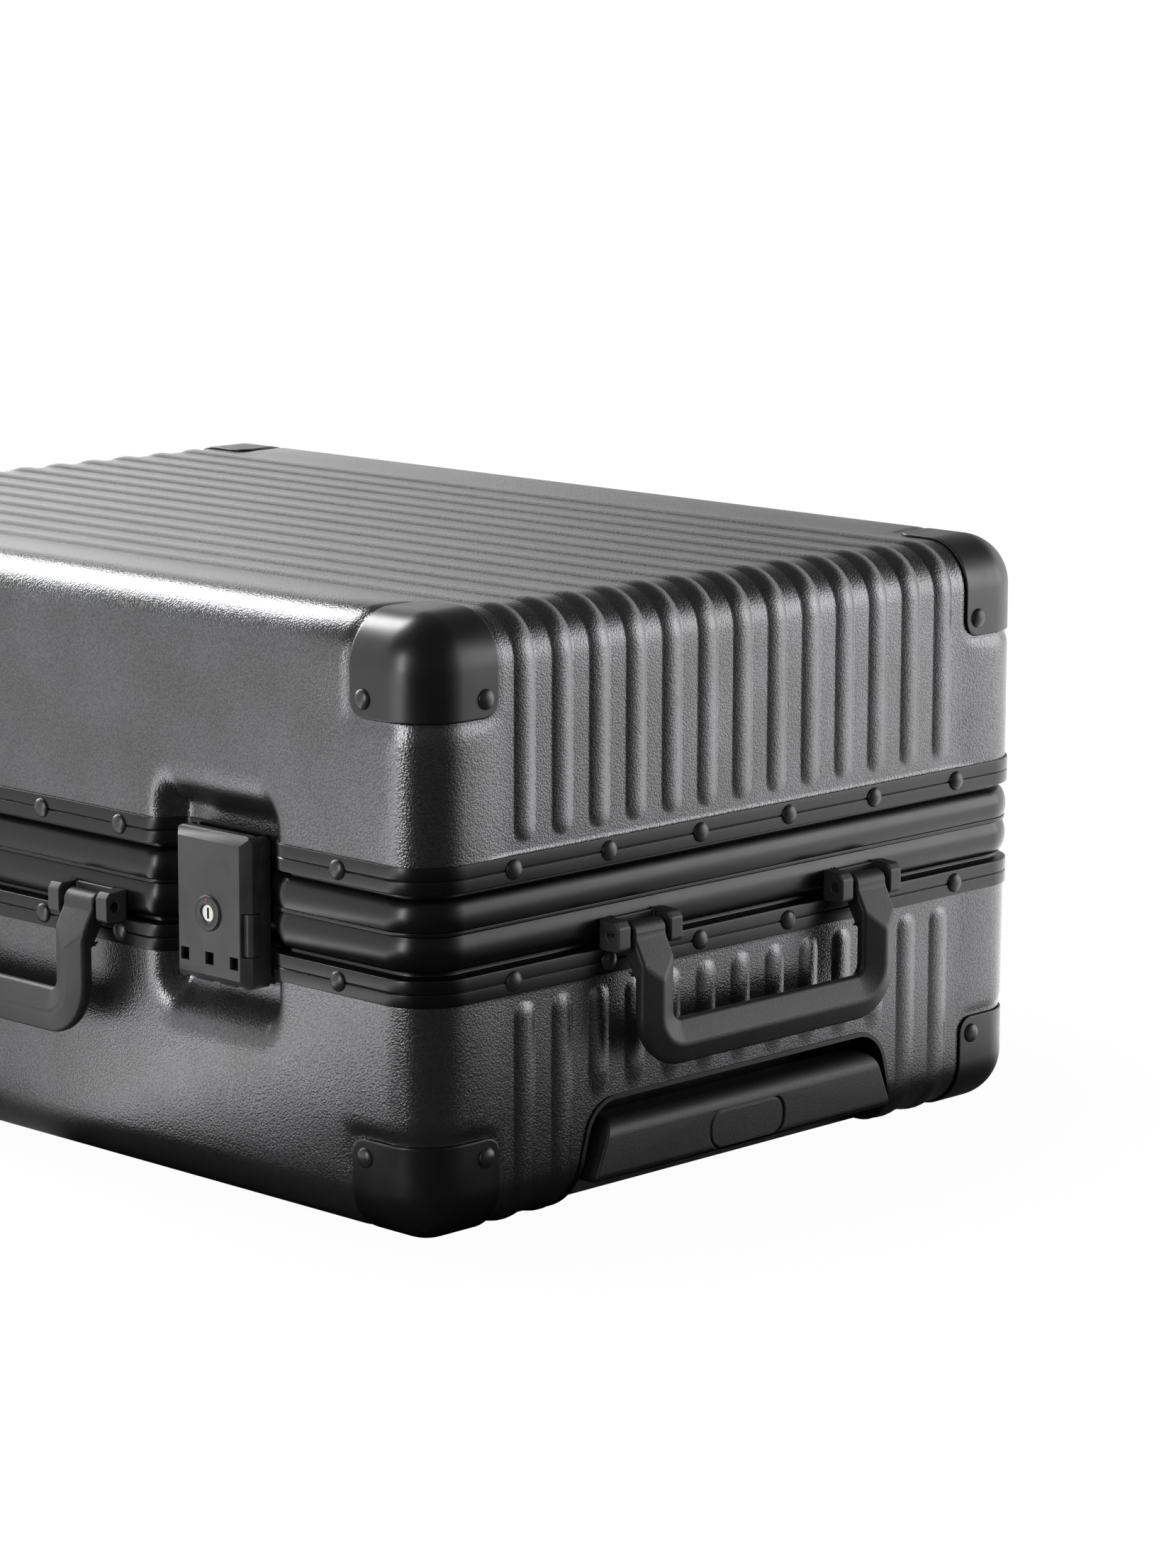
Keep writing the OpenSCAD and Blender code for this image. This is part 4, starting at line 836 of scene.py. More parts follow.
class SuitcaseLook(bpy.types.PropertyGroup):
    """Colours and light levels that a user would change."""

    shell_colour: bpy.props.StringProperty(
        name="Shell", description="sRGB colour of the moulded shells", default="#656566")
    frame_colour: bpy.props.StringProperty(
        name="Frame", description="sRGB colour of the coated frame", default="#0f0f10")
    guard_colour: bpy.props.StringProperty(
        name="Guards", description="sRGB colour of the corner guards", default="#101011")
    rivet_colour: bpy.props.StringProperty(
        name="Rivets", description="sRGB colour of the painted rivets", default="#262627")
    lock_colour: bpy.props.StringProperty(
        name="Locks", description="sRGB colour of the lock covers", default="#2b2b2d")
    handle_colour: bpy.props.StringProperty(
        name="Handles", description="sRGB colour of the handles", default="#1f1f20")
    fitting_colour: bpy.props.StringProperty(
        name="Fittings", description="sRGB colour of the black fittings", default="#0d0d0e")
    lining_colour: bpy.props.StringProperty(
        name="Lining", description="sRGB colour of the lining", default="#38393d")
    studio_level: bpy.props.FloatProperty(
        name="Studio level", description="Brightness of the studio in reflections",
        default=1.0, min=0.0, max=1.0)


class SUITCASE_OT_stage(bpy.types.Operator):
    """Makes the camera, the lamps, the studio, the floor and the materials"""

    bl_idname = "suitcase.stage"
    bl_label = "Stage"

    def execute(self, context):
        look = context.scene.suitcase_look
        scene = context.scene
        scene.view_settings.view_transform = "Standard"
        make_camera()
        make_world(look)
        make_floor(look)
        case = (0.05, 0, 0.13)
        area_lamp("Overhead softbox", (-0.88, -0.15, 0.87), case, 0.5, 1.2, 30)
        area_lamp("Left strip softbox", (0.17, -1.9, 0.35), (0.2, 0, 0.15), 0.25, 1.5, 12)
        area_lamp("Right rear softbox", (1.3, 1.6, 0.5), case, 1.0, 0.8, 6)
        make_materials(look)
        return {"FINISHED"}


class SUITCASE_OT_shells(bpy.types.Operator):
    """Moulds the two ribbed shells"""

    bl_idname = "suitcase.shells"
    bl_label = "Shells"

    def execute(self, context):
        s = context.scene.suitcase_sizes
        sizes = [v / MM for v in (s.rib_pitch, s.rib_width, s.rib_height)]
        material = "Moulded polycarbonate, leather grain"
        tree = mould_tree(material)
        for half, body in HALVES:
            shell = close_shell(half, sizes, tree)
            if half == "back":
                outline = recess_outline()
                cutter = prism("recess_cutter", [[(x, y, z) for y, z in outline]
                                                 for x in RECESS_CUT])
                modify(shell, "Recess", "BOOLEAN", operation="DIFFERENCE", solver="EXACT",
                       object=cutter)
                settle(shell)
                bpy.data.objects.remove(cutter)
            finish(shell, 50, material, body, "shell", half + "_shell")
        bpy.data.node_groups.remove(tree)
        return {"FINISHED"}


class SUITCASE_OT_guards(bpy.types.Operator):
    """Moulds the eight corner guards on the shells' own grid"""

    bl_idname = "suitcase.guards"
    bl_label = "Corner guards"

    def execute(self, context):
        s = context.scene.suitcase_sizes
        xs, ys, hs, bend = fine_stops(s.rib_pitch / MM, s.rib_width / MM)
        xs = [x for x in xs if abs(x) > GUARD_X + 0.19] + [-GUARD_X, GUARD_X]
        ys = [y for y in ys if abs(y) > GUARD_Y + 0.19] + [-GUARD_Y, GUARD_Y]
        hs = [h for h in hs if h > GUARD_H + 0.2] + [GUARD_H]
        square, normals, _, faces = shell_grid(stops(xs), stops(ys), stops(hs), bend + 5)
        points = bend_tabs(square, normals)
        inside = (np.abs(square) * (1, 1, 0) + square * (0, 0, 1)
                  >= np.array((GUARD_X, GUARD_Y, GUARD_H)) - 0.01).all(1)
        # a face of one guard is never as wide as the way between two
        kept = [f for f in faces if inside[list(f)].all()
                and np.ptp(square[list(f), :2], axis=0).max() < 60]
        for half, body in HALVES:
            order = [tuple(reversed(f)) for f in kept] if half == "back" else kept
            guard = mesh_object(half + "_guards_moulding", lift(points, half), order)
            with opened(guard) as work:
                loose = [v for v in work.verts if not v.link_faces]
                bmesh.ops.delete(work, geom=loose, context="VERTS")
            modify(guard, "Wall", "SOLIDIFY", thickness=1.2 * MM, offset=-1)
            settle(guard)
            modify(guard, "Rim", "BEVEL", limit_method="ANGLE", angle_limit=math.radians(50),
                   width=0.4 * MM, segments=3)
            finish(settle(guard), 50, "Moulded nylon, satin", body, "guard",
                   half + "_corner_guards")
        return {"FINISHED"}


# ---------- frame ----------

def case_path():
    """The frame's way round the case: points with their outward directions, in mm."""
    path = []

    def bend(cx, cy, r, start, sweep, count, sign=1):
        for i in range(count + 1):
            a = math.radians(start + sweep * i / count)
            path.append((cx + r * math.cos(a), cy + r * math.sin(a),
                         sign * math.cos(a), sign * math.sin(a)))

    steep = math.degrees(math.atan2(4, 3))
    bend(FLAT_X, FLAT_Y, EDGE_R, 0, 90, 16)
    bend(-FLAT_X, FLAT_Y, EDGE_R, 90, 90, 16)
    bend(-FLAT_X, -FLAT_Y, EDGE_R, 180, 90, 16)
    lip_y, foot_y = LIP_R - HALF_W, POCKET_D - HALF_W - FOOT_R
    for x in (-LOCK_X, LOCK_X):
        bend(x - POCKET_HALF, lip_y, LIP_R, -90, steep, 7)
        bend(x - FLOOR_HALF, foot_y, FOOT_R, 90 + steep, -steep, 6, -1)
        bend(x + FLOOR_HALF, foot_y, FOOT_R, 90, -steep, 6, -1)
        bend(x + POCKET_HALF, lip_y, LIP_R, -90 - steep, steep, 7)
    bend(FLAT_X, -FLAT_Y, EDGE_R, 270, 90, 16)
    return path


def fillet(section, radii, steps=3):
    """Rounds the corners of a closed section; radii maps a corner's number to its radius."""
    out = []
    count = len(section)
    for i, p in enumerate(section):
        r = radii.get(i, 0)
        if not r:
            out.append(p)
            continue
        a, b = Vector(section[i - 1]), Vector(section[(i + 1) % count])
        p = Vector(p)
        u, w = (a - p).normalized(), (b - p).normalized()
        half = u.angle(w) / 2
        back = min(r / math.tan(half), (a - p).length * 0.45, (b - p).length * 0.45)
        start, end = p + u * back, p + w * back
        for k in range(steps + 1):
            t = k / steps
            out.append(tuple(start * (1 - t) ** 2 + p * 2 * t * (1 - t) + end * t * t))
    return out


def sweep(name, path, section, half):
    """Sweeps a closed section of (outward, height) points round a closed path."""
    side = 1 if half == "front" else -1
    return loft(name, [[(x + out * nx, y + out * ny, MID_Z + side * h) for out, h in section]
                       for x, y, nx, ny in path], looped=True)


BEAD_TOP = 14.9
BEAD_MID = BEAD_TOP * 0.436


def bead(thick, start, end, count):
    out = []
    for i in range(count + 1):
        a = math.radians(start + (end - start) * i / count)
        out.append((-4.2 + (4.8 - thick) * math.cos(a),
                    BEAD_MID + (BEAD_TOP - BEAD_MID - thick) * math.sin(a)))
    return out


def bead_angle(thick, h):
    return math.degrees(math.asin((h - BEAD_MID) / (BEAD_TOP - BEAD_MID - thick)))


def frame_section(low, edge, flange):
    """Section of one half of the frame, with its edges rounded."""
    t = 1.6
    strip = [(0.1, 28), (1, 28), (1, 23.0), (0.55, 22.5), (1, 22.0), (1, 17), (-4.2, 16.4)]
    front = bead(0, 90, bead_angle(0, low), 16)
    back = bead(t, bead_angle(t, flange + t), 90, 8)
    rest = [(-4.2 - t, BEAD_TOP - t), (-4.2 - t, 17 + t), (-2.5 - t, 17 + t), (-2.5 - t, 27),
            (-2.5, 27), (-2.5, 17 + t / 2 - 0.1), (0.1, 17 + t / 2 - 0.1)]
    section = strip + front + edge + [(-8, flange), (-8, flange + t)] + back + rest
    first_edge = len(strip) + len(front)
    radii = {1: 0.35, 2: 0.3, 4: 0.3, 5: 0.55, 6: 0.5}
    radii.update({first_edge + i: 0.25 for i in range(1, max(1, len(edge) - 2))})
    return fillet(section, radii)


class SUITCASE_OT_frame(bpy.types.Operator):
    """Sweeps the two halves of the extruded frame and the seal between them"""

    bl_idname = "suitcase.frame"
    bl_label = "Frame"

    def execute(self, context):
        path = case_path()
        lip = [(-0.6, 2.0), (0.2, 1.8), (0.2, 0.5), (-0.1, 0.2), (-3, 0.2), (-3, 1.6)]
        sections = (frame_section(0.9, [(-0.9, 0.2)], 0.2), frame_section(2.1, lip, 1.6))
        for (half, body), section in zip(HALVES, sections):
            finish(sweep(half + "_frame_extrusion", path, section, half), 40, COAT, body,
                   "frame", half + "_frame")
        seal = [(-3.6, 0.2), (-3.6, -0.7), (-4.4, -1.4), (-6.4, -1.4), (-7.4, -0.7), (-7.4, 0.2)]
        finish(sweep("frame_seal", path, fillet(seal, {2: 0.4, 3: 0.4}), "back"), 40,
               "Extruded EPDM rubber", "base", "seal", "frame_gasket")
        return {"FINISHED"}


# ---------- rivets ----------

def repeat_tree(item, material):
    """Geometry Nodes that set an item on every point, its Z turned to that point's way."""
    tree, start = geometry_tree("Repeat", "Diameter", "Length")
    turn = node(tree, "FunctionNodeAlignRotationToVector",
                {"Vector": stored(tree, "way_out", "FLOAT_VECTOR")}, axis="Z")
    height = calc(tree, "MULTIPLY", start.outputs[2], stored(tree, "rise"))
    size = node(tree, "ShaderNodeCombineXYZ", {0: start.outputs[1], 1: start.outputs[1],
                                               2: height})
    source = node(tree, "GeometryNodeObjectInfo", {"Object": item, "As Instance": True})
    dots = node(tree, "GeometryNodeMeshToPoints", {"Mesh": start.outputs[0]})
    placed = node(tree, "GeometryNodeInstanceOnPoints",
                  {"Points": dots.outputs[0], "Instance": source.outputs["Geometry"],
                   "Rotation": turn.outputs[0], "Scale": size.outputs[0]})
    real = node(tree, "GeometryNodeRealizeInstances", {0: placed.outputs[0]})
    return painted(tree, real.outputs[0], material)


def repeat(name, profile, places, ways, diameter, length, material, rises=None, count=8):
    """Turned items of unit size at places in mm, each along its own way."""
    item = lathe("item", [(r / MM, z / MM) for r, z in profile], count)
    dots = mesh_object(name, places, [])
    store(dots, "way_out", [float(v) for way in ways for v in way], "FLOAT_VECTOR")
    store(dots, "rise", rises or [1.0] * len(places))
    tree = repeat_tree(item, material)
    apply_tree(dots, tree, Diameter=diameter, Length=length)
    bpy.data.node_groups.remove(tree)
    bpy.data.objects.remove(item)
    return dots


def lathe(name, profile, count=28):
    """Turns a profile of (radius, height) points round Z; ends on the axis are closed."""
    points, faces, rings = [], [], []
    for r, z in profile:
        if r < 1e-9:
            rings.append([len(points)] * count)
            points.append((0, 0, z))
        else:
            rings.append(list(range(len(points), len(points) + count)))
            points += [(r * math.cos(2 * math.pi * i / count),
                        r * math.sin(2 * math.pi * i / count), z) for i in range(count)]
    for a, b in zip(rings, rings[1:]):
        for i in range(count):
            j = (i + 1) % count
            quad = []
            for v in (a[i], a[j], b[j], b[i]):
                if v not in quad:
                    quad.append(v)
            if len(quad) > 2:
                faces.append(tuple(quad))
    return outward(mesh_object(name, points, faces))


def solids(name):
    """Boxes of a CAD node's separate solids, as (lowest, highest) in metres."""
    work = bmesh.new()
    work.from_mesh(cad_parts[name].data)
    bmesh.ops.remove_doubles(work, verts=work.verts, dist=2e-6)
    seen, found = set(), []
    for vert in work.verts:
        if vert in seen:
            continue
        group, queue = [], [vert]
        seen.add(vert)
        while queue:
            v = queue.pop()
            group.append(v.co)
            for edge in v.link_edges:
                other = edge.other_vert(v)
                if other not in seen:
                    seen.add(other)
                    queue.append(other)
        co = np.array(group)
        found.append((co.min(0), co.max(0)))
    work.free()
    return found


class SUITCASE_OT_rivets(bpy.types.Operator):
    """Heads a rivet at each place that the frame has one"""

    bl_idname = "suitcase.rivets"
    bl_label = "Rivets"

    def execute(self, context):
        s = context.scene.suitcase_sizes
        dome = [(0, -3.2), (0.21, -3.2), (0.21, 0), (0.47, 0), (0.5, 0.06), (0.497, 0.2),
                (0.46, 0.42), (0.39, 0.62), (0.3, 0.79), (0.2, 0.91), (0.1, 0.98), (0, 1)]
        for half, body in HALVES:
            places, ways, rises = [], [], []
            for lo, hi in solids(half + "_rivets"):
                mid = (lo + hi) / 2
                x, y = mid[:2]
                if max(hi[0], -lo[0]) > (HALF_L - 0.5) * MM:
                    way = (math.copysign(1, x), 0, 0)
                elif max(hi[1], -lo[1]) > (HALF_W - 0.5) * MM:
                    way = (0, math.copysign(1, y), 0)
                else:
                    way = (0, 0, -1 if half == "back" else 1)
                tip = [hi[i] if way[i] > 0 else lo[i] if way[i] < 0 else mid[i] for i in range(3)]
                # those on the faces of the guards are nearly flush
                rise = 0.3 if way[2] else 1.0
                places.append((np.array(tip) - np.array(way) * s.rivet_rise * rise) / MM)
                ways.append(way)
                rises.append(rise)
            heads = repeat(half + "_rivets_headed", dome, places, ways, s.rivet_head,
                           s.rivet_rise, "Headed steel rivet, black paint", rises, 28)
            finish(heads, 60, "Headed steel rivet, black paint", body, "rivet",
                   half + "_rivets")
        return {"FINISHED"}


LOCK_HALF_W, LOCK_LOW, LOCK_HIGH, LOCK_CORNER = 22.3, 90.6, 153.8, 3.2
KEY_Z, RING_FRONT = 120.2, -187.2
COVER_REACH = (-190, -170)
FIGURE_H, FIGURE_T, FIGURE_SINK = 3.0, 0.12, 0.09


def round_corners(cover, x):
    """Rounds the four corners of a lock cover's front, then eases all its edges."""
    middle, half_h = (LOCK_HIGH + LOCK_LOW) / 2, (LOCK_HIGH - LOCK_LOW) / 2
    outline = round_path(LOCK_HALF_W, half_h, LOCK_CORNER)
    mould = prism("cover_mould", [[(x + u, y, middle + v) for u, v, _, _ in outline]
                                  for y in COVER_REACH])
    modify(cover, "Corners", "BOOLEAN", operation="INTERSECT", solver="EXACT", object=mould)
    modify(cover, "Eased edges", "BEVEL", limit_method="ANGLE", angle_limit=math.radians(28),
           width=0.55 * MM, segments=3, use_clamp_overlap=True)
    cover.data.shade_smooth()
    settle(cover)
    bpy.data.objects.remove(mould)
    return smooth(cover, 40)


def upright(obj, x, y, z):
    """Turns a lathed piece from Z to -Y and sets it at a place in mm."""
    turn = Matrix.Translation(Vector((x, y, z)) * MM) @ Matrix.Rotation(math.pi / 2, 4, "X")
    obj.data.transform(turn)
    return obj


def dial_figures(side, number):
    """The plain figures 0 to 9 printed round a number dial."""
    box = solids(f"{side}_lock_dial_{number}")[0]
    middle, radius = (box[0] + box[1]) / 2, (box[1] - box[0])[1:].max() / 2
    work = bmesh.new()
    for k in range(10):
        text = bpy.data.curves.new("figure", "FONT")
        text.body, text.size, text.extrude = str(k), FIGURE_H * MM, FIGURE_T * MM
        text.align_x = text.align_y = "CENTER"
        holder = new_object("figure", text)
        bpy.context.view_layer.update()
        figure = bpy.data.meshes.new_from_object(
            holder.evaluated_get(bpy.context.evaluated_depsgraph_get()))
        figure.transform(Matrix.Translation(Vector(middle))
                         @ Matrix.Rotation(math.radians(36 * k), 4, "X")
                         @ Matrix.Rotation(math.pi / 2, 4, "X")
                         @ Matrix.Translation((0, 0, radius - FIGURE_SINK * MM)))
        work.from_mesh(figure)
        bpy.data.objects.remove(holder)
    mesh = bpy.data.meshes.new(f"{side}_dial_{number}_figures")
    bmesh.ops.remove_doubles(work, verts=work.verts, dist=1e-7)
    work.to_mesh(mesh)
    work.free()
    place(dress(new_object(mesh.name, mesh), PRINT), f"{side}_dial_{number}", "dial")


def ring_plate(side, x):
    """Dark plate round the key, and the red dot that shows the open place."""
    plate = [(3.75, -0.3), (3.75, 0.2), (4.05, 0.42), (6.7, 0.42), (7.15, 0.3), (7.35, 0.05),
             (7.35, -0.3), (3.75, -0.3)]
    dot = [(0, 0), (0.6, 0), (0.6, 0.5), (0.45, 0.6), (0, 0.62)]
    for name, profile, count, rise, material in (("ring_plate", plate, 48, 0, ABS),
                                                 ("red_dot", dot, 20, 5.6, "Red enamel dot")):
        piece = upright(lathe(f"{side}_lock_{name}", profile, count), x, RING_FRONT,
                        KEY_Z + rise)
        finish(piece, 40, material, side + "_lock", "lock")


class SUITCASE_OT_fittings(bpy.types.Operator):
    """Eases the fittings of the frame, and adds the plates, dots and figures of the locks"""

    bl_idname = "suitcase.fittings"
    bl_label = "Fittings"

    def execute(self, context):
        ease = context.scene.suitcase_sizes.handle_ease / MM
        eased("carry_handle", ease, "carry_handle", "grip", SAND, 3)
        eased("side_handle", ease, "side_handle", "grip", SAND, 3)
        eased("handle_brackets", 0.7, "base", "lock", CAST, 3)
        eased("trolley_grip", 0.9, "trolley_bar", "grip", SAND, 3)
        eased("trolley_button", 0.5, "trolley_button", "grip", SAND)
        for side, x in (("right", LOCK_X), ("left", -LOCK_X)):
            round_corners(eased(side + "_lock_cover", 0, side + "_lock", "lock", CAST), x)
            ring_plate(side, x)
            eased(side + "_lock_release", 0.4, side + "_release", "lock", CAST)
            eased(side + "_lock_key_cylinder", 0.15, side + "_key", "core", NICKEL)
            for i in "123":
                eased(f"{side}_lock_dial_{i}", 0.1, f"{side}_dial_{i}", "dial", ACETAL)
                dial_figures(side, i)
        for half, body in HALVES:
            eased(half + "_hinge_leaves", 0.3, body, "frame", COAT)
            eased(half + "_caster_housings", 0.8, body, "moulding", ABS)
            for side in ("left", "right"):
                name = f"{half}_{side}"
                eased(name + "_fork", 0.5, name + "_caster", "moulding", ABS)
                eased(name + "_wheels", 0.3, name + "_wheel", "wheel", "Moulded nylon wheel")
                eased(name + "_tyres", 0.3, name + "_wheel", "tyre", "Moulded TPR tyre")
        for material, names in (
                (STEEL, "handle_pins hinge_pins lock_pins right_dial_shaft left_dial_shaft "
                        "lock_strikes"),
                (COAT, "lock_bases"), (ABS, "trolley_foot trolley_cup"),
                ("Drawn aluminium, anodised",
                 "trolley_outer_tubes trolley_middle_tubes trolley_inner_tubes")):
            for name in names.split():
                dress(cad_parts[name], material)
        return {"FINISHED"}


# ---------- inside ----------

POCKET_X, POCKET_Y, POCKET_R, POCKET_TOP = 219.0, 147.0, 20.0, 245.1
PAD_T, PAD_DROP, SEAM, PIPING_R, PIPING_DROP = 3.0, 1.7, 13.0, 1.1, 1.6
STRAP_Z, STRAP_X, STRAP_HALF, STRAP_T, STRAP_END = 35.5, 95.0, 12.5, 1.6, 173.2
ZIP_IN, ZIP_END, ZIP_PITCH, TOOTH_SIDE = 9.0, 40.0, 1.5, 0.9
HEM_FOOT, HEM_H, HEM_FACE, STITCH_STEP = 0.8, 11.0, -10.3, 3.6
TUNNEL_L, TUNNEL_H = 0.443, 0.0271
# turned profiles of unit size: a stitch, a zip tooth and a coarser stitch
STITCH = [(0, -0.5), (0.3, -0.44), (0.5, -0.25), (0.5, 0.25), (0.3, 0.44), (0, 0.5)]
TOOTH = [(0, -0.5), (0.34, -0.46), (0.5, -0.3), (0.5, 0.3), (0.34, 0.46), (0, 0.5)]
BOX_STITCH = [(0, -0.5), (0.5, -0.3), (0.5, 0.3), (0, 0.5)]


def gridded(obj, xs, ys, zs):
    """Cuts a mesh along planes at places in mm, so that its faces can bend."""
    with opened(obj) as work:
        for axis, places in enumerate((xs, ys, zs)):
            way = Vector([float(i == axis) for i in range(3)])
            for at in places:
                bmesh.ops.bisect_plane(work, geom=work.verts[:] + work.edges[:] + work.faces[:],
                                       dist=1e-6, plane_co=way * at * MM, plane_no=way)
    return obj


def shift(obj, move):
    """Moves each point of a mesh by a function of its place in mm."""
    for vert in obj.data.vertices:
        vert.co += Vector(move(vert.co / MM)) * MM
    obj.data.update()
    return obj


def ripple(at, size, seed):
    """Smooth unevenness of cloth from -1 to 1, with waves of about a size in mm."""
    return noise.noise(at / size + Vector((seed, 0, 0))) * 1.6


def round_path(half_x, half_y, r, count=6):
    """Rounded rectangle as points with outward directions, in mm."""
    path = []
    for k, (sx, sy) in enumerate(((1, 1), (-1, 1), (-1, -1), (1, -1))):
        for i in range(count + 1):
            a = math.radians(90 * k + 90 * i / count)
            path.append((sx * (half_x - r) + r * math.cos(a), sy * (half_y - r) + r * math.sin(a),
                         math.cos(a), math.sin(a)))
    return path


def along(path, out, step, closed=True):
    """Evenly spaced points and directions along a path offset outwards, in mm."""
    points = [Vector((x + out * nx, y + out * ny, 0)) for x, y, nx, ny in path]
    if closed:
        points.append(points[0])
    places, ways, carry = [], [], 0.0
    for a, b in zip(points, points[1:]):
        length = (b - a).length
        if length < 1e-6:
            continue
        at = carry
        while at < length:
            places.append(a + (b - a) * at / length)
            ways.append((b - a) / length)
            at += step
        carry = at - length
    return places, ways


def line_lining(half, body):
    """Fabric lining of one shell, with a hem band and two rows of stitches along its rim."""
    obj = merged_copy(half + "_lining")
    gridded(obj, range(-240, 241, 16), range(-168, 169, 14), range(20, 240, 13))
    seed, side = (3.0, -1) if half == "back" else (8.0, 1)

    def slack(at):
        ease = min(1.0, abs(at.z - (MID_Z + side * 0.6)) / 20)
        wave = (0.4 * ripple(at, 60, seed) + 0.12 * ripple(at, 22, seed)) * ease
        return (wave * 0.5, -wave * 0.5, wave)

    finish(shift(obj, slack), 42, CLOTH, body, "lining", half + "_lining")
    low, high = HEM_FOOT, HEM_FOOT + HEM_H
    band = [(-9.4, low), (-9.4, high), (-9.9, high), (HEM_FACE, high - 0.5),
            (HEM_FACE, low + 0.5), (-9.9, low)]
    hem = finish(sweep(half + "_lining_hem", case_path(), band, half), 40, CLOTH, body, "lining")
    spots, ways = along(case_path(), HEM_FACE, STITCH_STEP)
    rows = [Vector((v.x, v.y, MID_Z + side * up)) for up in (low + 2.0, low + 9.0)
            for v in spots]
    thread = repeat(half + "_hem_stitches", STITCH, rows, ways * 2, 0.6 * MM, 2.7 * MM, PRINT)
    finish(thread, 60, PRINT, body, "lining")
    # the cut, from the sizes of the solid: a tray with round edges and corners, and for the
    # back one the four sides of the tunnels over the tubes; lock pockets are not counted
    length, width, height, edge = 0.4934, 0.3494, 0.12, 0.0177
    straight = 2 * (length + width - 4 * edge)
    area = ((length - 2 * edge) * (width - 2 * edge) + 2 * math.pi * edge * height
            + straight * (height - edge + math.pi * edge / 2))
    if half == "back":
        area += 4 * TUNNEL_L * TUNNEL_H


def zip_pocket():
    """Padded pocket panel of the lid, with piping, a zip on three sides and its slider."""
    near = [2, 4, 7, 11, 16, 22, 30]
    xs = [s * (POCKET_X - d) for d in near for s in (-1, 1)] + list(range(-180, 181, 12))
    ys = [s * (POCKET_Y - d) for d in near for s in (-1, 1)] + list(range(-108, 109, 12))

    def crown(at):
        if at.z > POCKET_TOP - 0.5:
            return (0, 0, 0)
        u, v = POCKET_X - abs(at.x), POCKET_Y - abs(at.y)
        edge = min(u, v)
        if u < POCKET_R and v < POCKET_R:
            edge = POCKET_R - math.hypot(POCKET_R - u, POCKET_R - v)
        full = 1 - math.exp(-max(edge - SEAM, 0) / 16) if edge > SEAM else 0.35
        wave = 0.45 * ripple(at, 48, 5.0) * min(1.0, max(edge - SEAM, 0) / 25)
        return (0, 0, PAD_DROP * (1 - full) - wave)

    pad = shift(gridded(merged_copy("front_pocket"), xs, ys, []), crown)
    finish(pad, 50, CLOTH, "lid", "lining", "front_pocket")
    h = POCKET_TOP - PIPING_DROP - MID_Z
    cord = [(PIPING_R * math.cos(a), h + PIPING_R * math.sin(a))
            for a in (math.radians(45 * i) for i in range(8))]
    piping = sweep("pocket_piping", round_path(POCKET_X - 0.9, POCKET_Y - 0.9, POCKET_R), cord,
                   "front")
    finish(piping, 60, WEBBING, "lid", "webbing")
    close_pocket(POCKET_TOP - PAD_T + PAD_DROP * 0.65)


def close_pocket(face_z):
    """The zip: a tape with two rows of teeth, open at the side of the hinges, and a slider."""
    x_side, y_end = POCKET_X - ZIP_IN, POCKET_Y - ZIP_END
    loop = round_path(x_side, POCKET_Y - ZIP_IN, POCKET_R - ZIP_IN)
    path = [(x_side, y_end, 1, 0), *reversed(loop[len(loop) // 2:]), (-x_side, y_end, -1, 0)]
    width = [(-4.2, 0.5), (-4.0, -0.1), (-0.3, -0.25), (0.3, -0.25), (4.0, -0.1), (4.2, 0.5)]
    ribbon = loft("pocket_zip_tape", [[(x + out * nx, y + out * ny, face_z + up)
                                       for out, up in width] for x, y, nx, ny in path])
    finish(ribbon, 50, WEBBING, "lid", "webbing")
    rows, across = [], []
    for i, (spot, way) in enumerate(zip(*along(path, 0, ZIP_PITCH, closed=False))):
        side = Vector((-way.y, way.x, 0))
        rows.append(spot + side * (TOOTH_SIDE if i % 2 else -TOOTH_SIDE)
                    + Vector((0, 0, face_z - 0.35)))
        across.append(side)
    teeth = repeat("pocket_zip_teeth", TOOTH, rows, across, 1.1 * MM, 3.0 * MM, ACETAL)
    finish(teeth, 60, ACETAL, "lid", "moulding")
    # the slider's body, bridge and pull: way along Y, half sizes, lowest and highest
    parts = []
    for cy, wx, wy, *levels in ((0, 4.0, 5.5, -2.0, 0.0), (-4, 1.2, 2.2, -3.0, -2.0),
                                (-14, 3.0, 9.0, -3.4, -2.6)):
        outline = round_path(wx, wy, min(wx, wy) * 0.6, 4)
        part = prism("slider_part", [[(x_side + u, y_end - 6 + cy + v, face_z + z)
                                      for u, v, _, _ in outline] for z in levels])
        modify(part, "Eased edges", "BEVEL", width=0.25 * MM, segments=2)
        parts.append(settle(part))
    finish(joined("pocket_zip_slider", parts), 40, NICKEL, "lid", "core")


def box_stitches(x, way):
    """Places and directions of a box of stitches with a cross in it, near the wall."""
    corners = [(-9, 153), (9, 153), (9, 169), (-9, 169), (-9, 153), (9, 169), (-9, 169), (9, 153)]
    for (u0, v0), (u1, v1) in zip(corners, corners[1:]):
        steps = max(1, int(math.hypot(u1 - u0, v1 - v0) / 2.6))
        for i in range(steps):
            t = (i + 0.5) / steps
            yield ((x + u0 + (u1 - u0) * t, way * (v0 + (v1 - v0) * t),
                    STRAP_Z + STRAP_T + 0.38),
                   Vector((u1 - u0, way * (v1 - v0), 0)).normalized())


def strap_ring(x, way, y, section):
    """Section of a strap at a place along it, with its slack and its stitched turn-ups."""
    free = math.sin(math.pi * min(1, max(0, (y - 30) / (STRAP_END - 45))))
    slack = 0.5 * free * math.sin(y / 17 + x) - 0.35 * free
    turned = 0.35 if 150 < y < 172 or y < 44 else 0.0
    return [(x + u, way * y, STRAP_Z + v + slack + (turned if v > 1 else 0.0))
            for u, v in section]


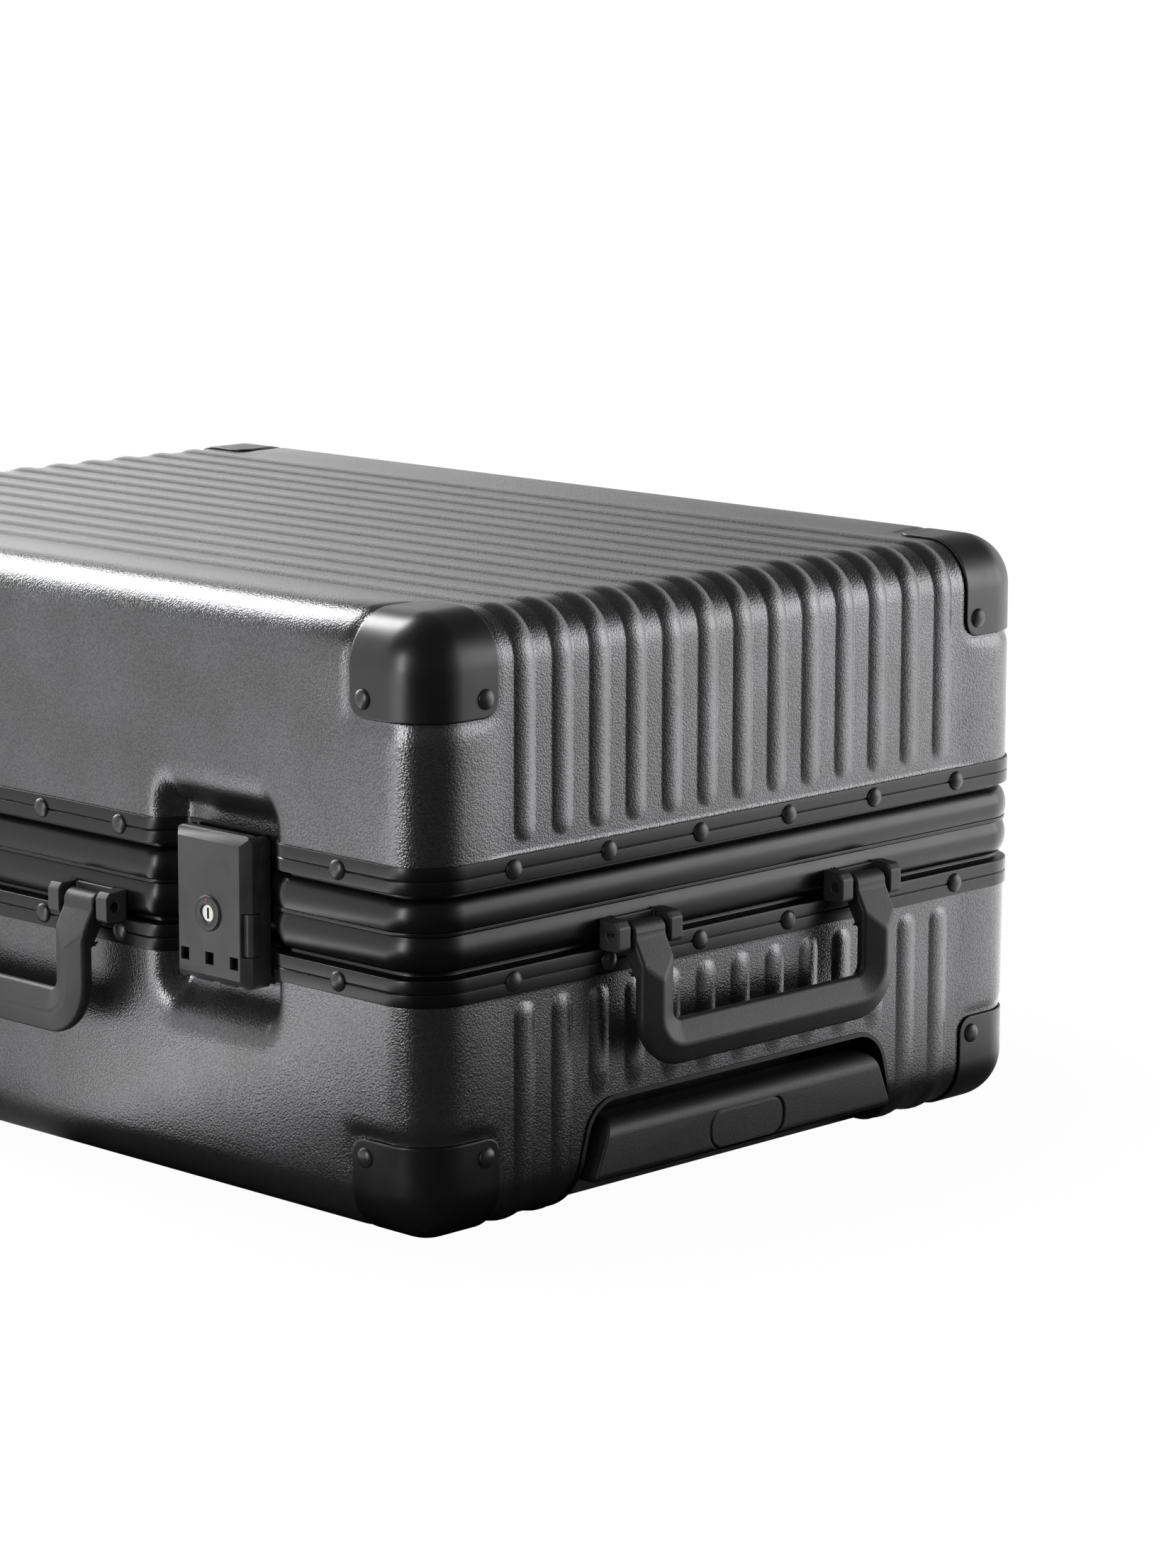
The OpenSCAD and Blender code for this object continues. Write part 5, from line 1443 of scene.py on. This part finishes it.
def lay_straps():
    """Four webbing straps from the walls to the buckles, with a stitched turn-up at each end."""
    w, t = STRAP_HALF, STRAP_T
    section = [(-w, 0.5), (-w + 0.5, 0), (0, 0), (w - 0.5, 0), (w, 0.5), (w, t - 0.5),
               (w - 0.5, t), (0, t), (-w + 0.5, t), (-w, t - 0.5)]
    ends = [(x, way) for x in (-STRAP_X, STRAP_X) for way in (-1, 1)]
    straps = joined("packing_straps_webbing", [
        loft("strap", [strap_ring(x, way, y, section) for y in spread(20, STRAP_END, 6)])
        for x, way in ends])
    finish(straps, 40, WEBBING, "base", "webbing", "packing_straps")
    spots, ways = zip(*[stitch for end in ends for stitch in box_stitches(*end)])
    thread = repeat("packing_strap_stitches", BOX_STITCH, spots, ways, 0.55 * MM, 2.2 * MM, PRINT)
    finish(thread, 60, PRINT, "base", "webbing")


class SUITCASE_OT_inside(bpy.types.Operator):
    """Lines the case, sews the zip pocket and lays the packing straps"""

    bl_idname = "suitcase.inside"
    bl_label = "Inside"

    def execute(self, context):
        line_lining("back", "base")
        line_lining("front", "lid")
        zip_pocket()
        lay_straps()
        eased("strap_buckles", 0.6, "base", "moulding", ABS)
        return {"FINISHED"}


class SUITCASE_PT_panel(bpy.types.Panel):
    bl_label = "Suitcase"
    bl_idname = "SUITCASE_PT_panel"
    bl_space_type = "VIEW_3D"
    bl_region_type = "UI"
    bl_category = "Suitcase"

    def draw(self, context):
        for group in (context.scene.suitcase_sizes, context.scene.suitcase_look):
            for name in group.__annotations__:
                self.layout.prop(group, name)
        for operator in OPERATORS:
            self.layout.operator(operator.bl_idname)


OPERATORS = (SUITCASE_OT_stage, SUITCASE_OT_shells, SUITCASE_OT_guards, SUITCASE_OT_frame,
             SUITCASE_OT_rivets, SUITCASE_OT_fittings, SUITCASE_OT_inside)
CLASSES = (SuitcaseSizes, SuitcaseLook, *OPERATORS, SUITCASE_PT_panel)


def register():
    for item in CLASSES:
        bpy.utils.register_class(item)
    bpy.types.Scene.suitcase_sizes = bpy.props.PointerProperty(type=SuitcaseSizes)
    bpy.types.Scene.suitcase_look = bpy.props.PointerProperty(type=SuitcaseLook)


def unregister():
    del bpy.types.Scene.suitcase_sizes
    del bpy.types.Scene.suitcase_look
    for item in reversed(CLASSES):
        bpy.utils.unregister_class(item)


def main():
    register()
    bpy.ops.suitcase.stage()
    bpy.ops.suitcase.shells()
    bpy.ops.suitcase.guards()
    bpy.ops.suitcase.frame()
    bpy.ops.suitcase.rivets()
    bpy.ops.suitcase.fittings()
    bpy.ops.suitcase.inside()


if __name__ == "__main__":
    main()
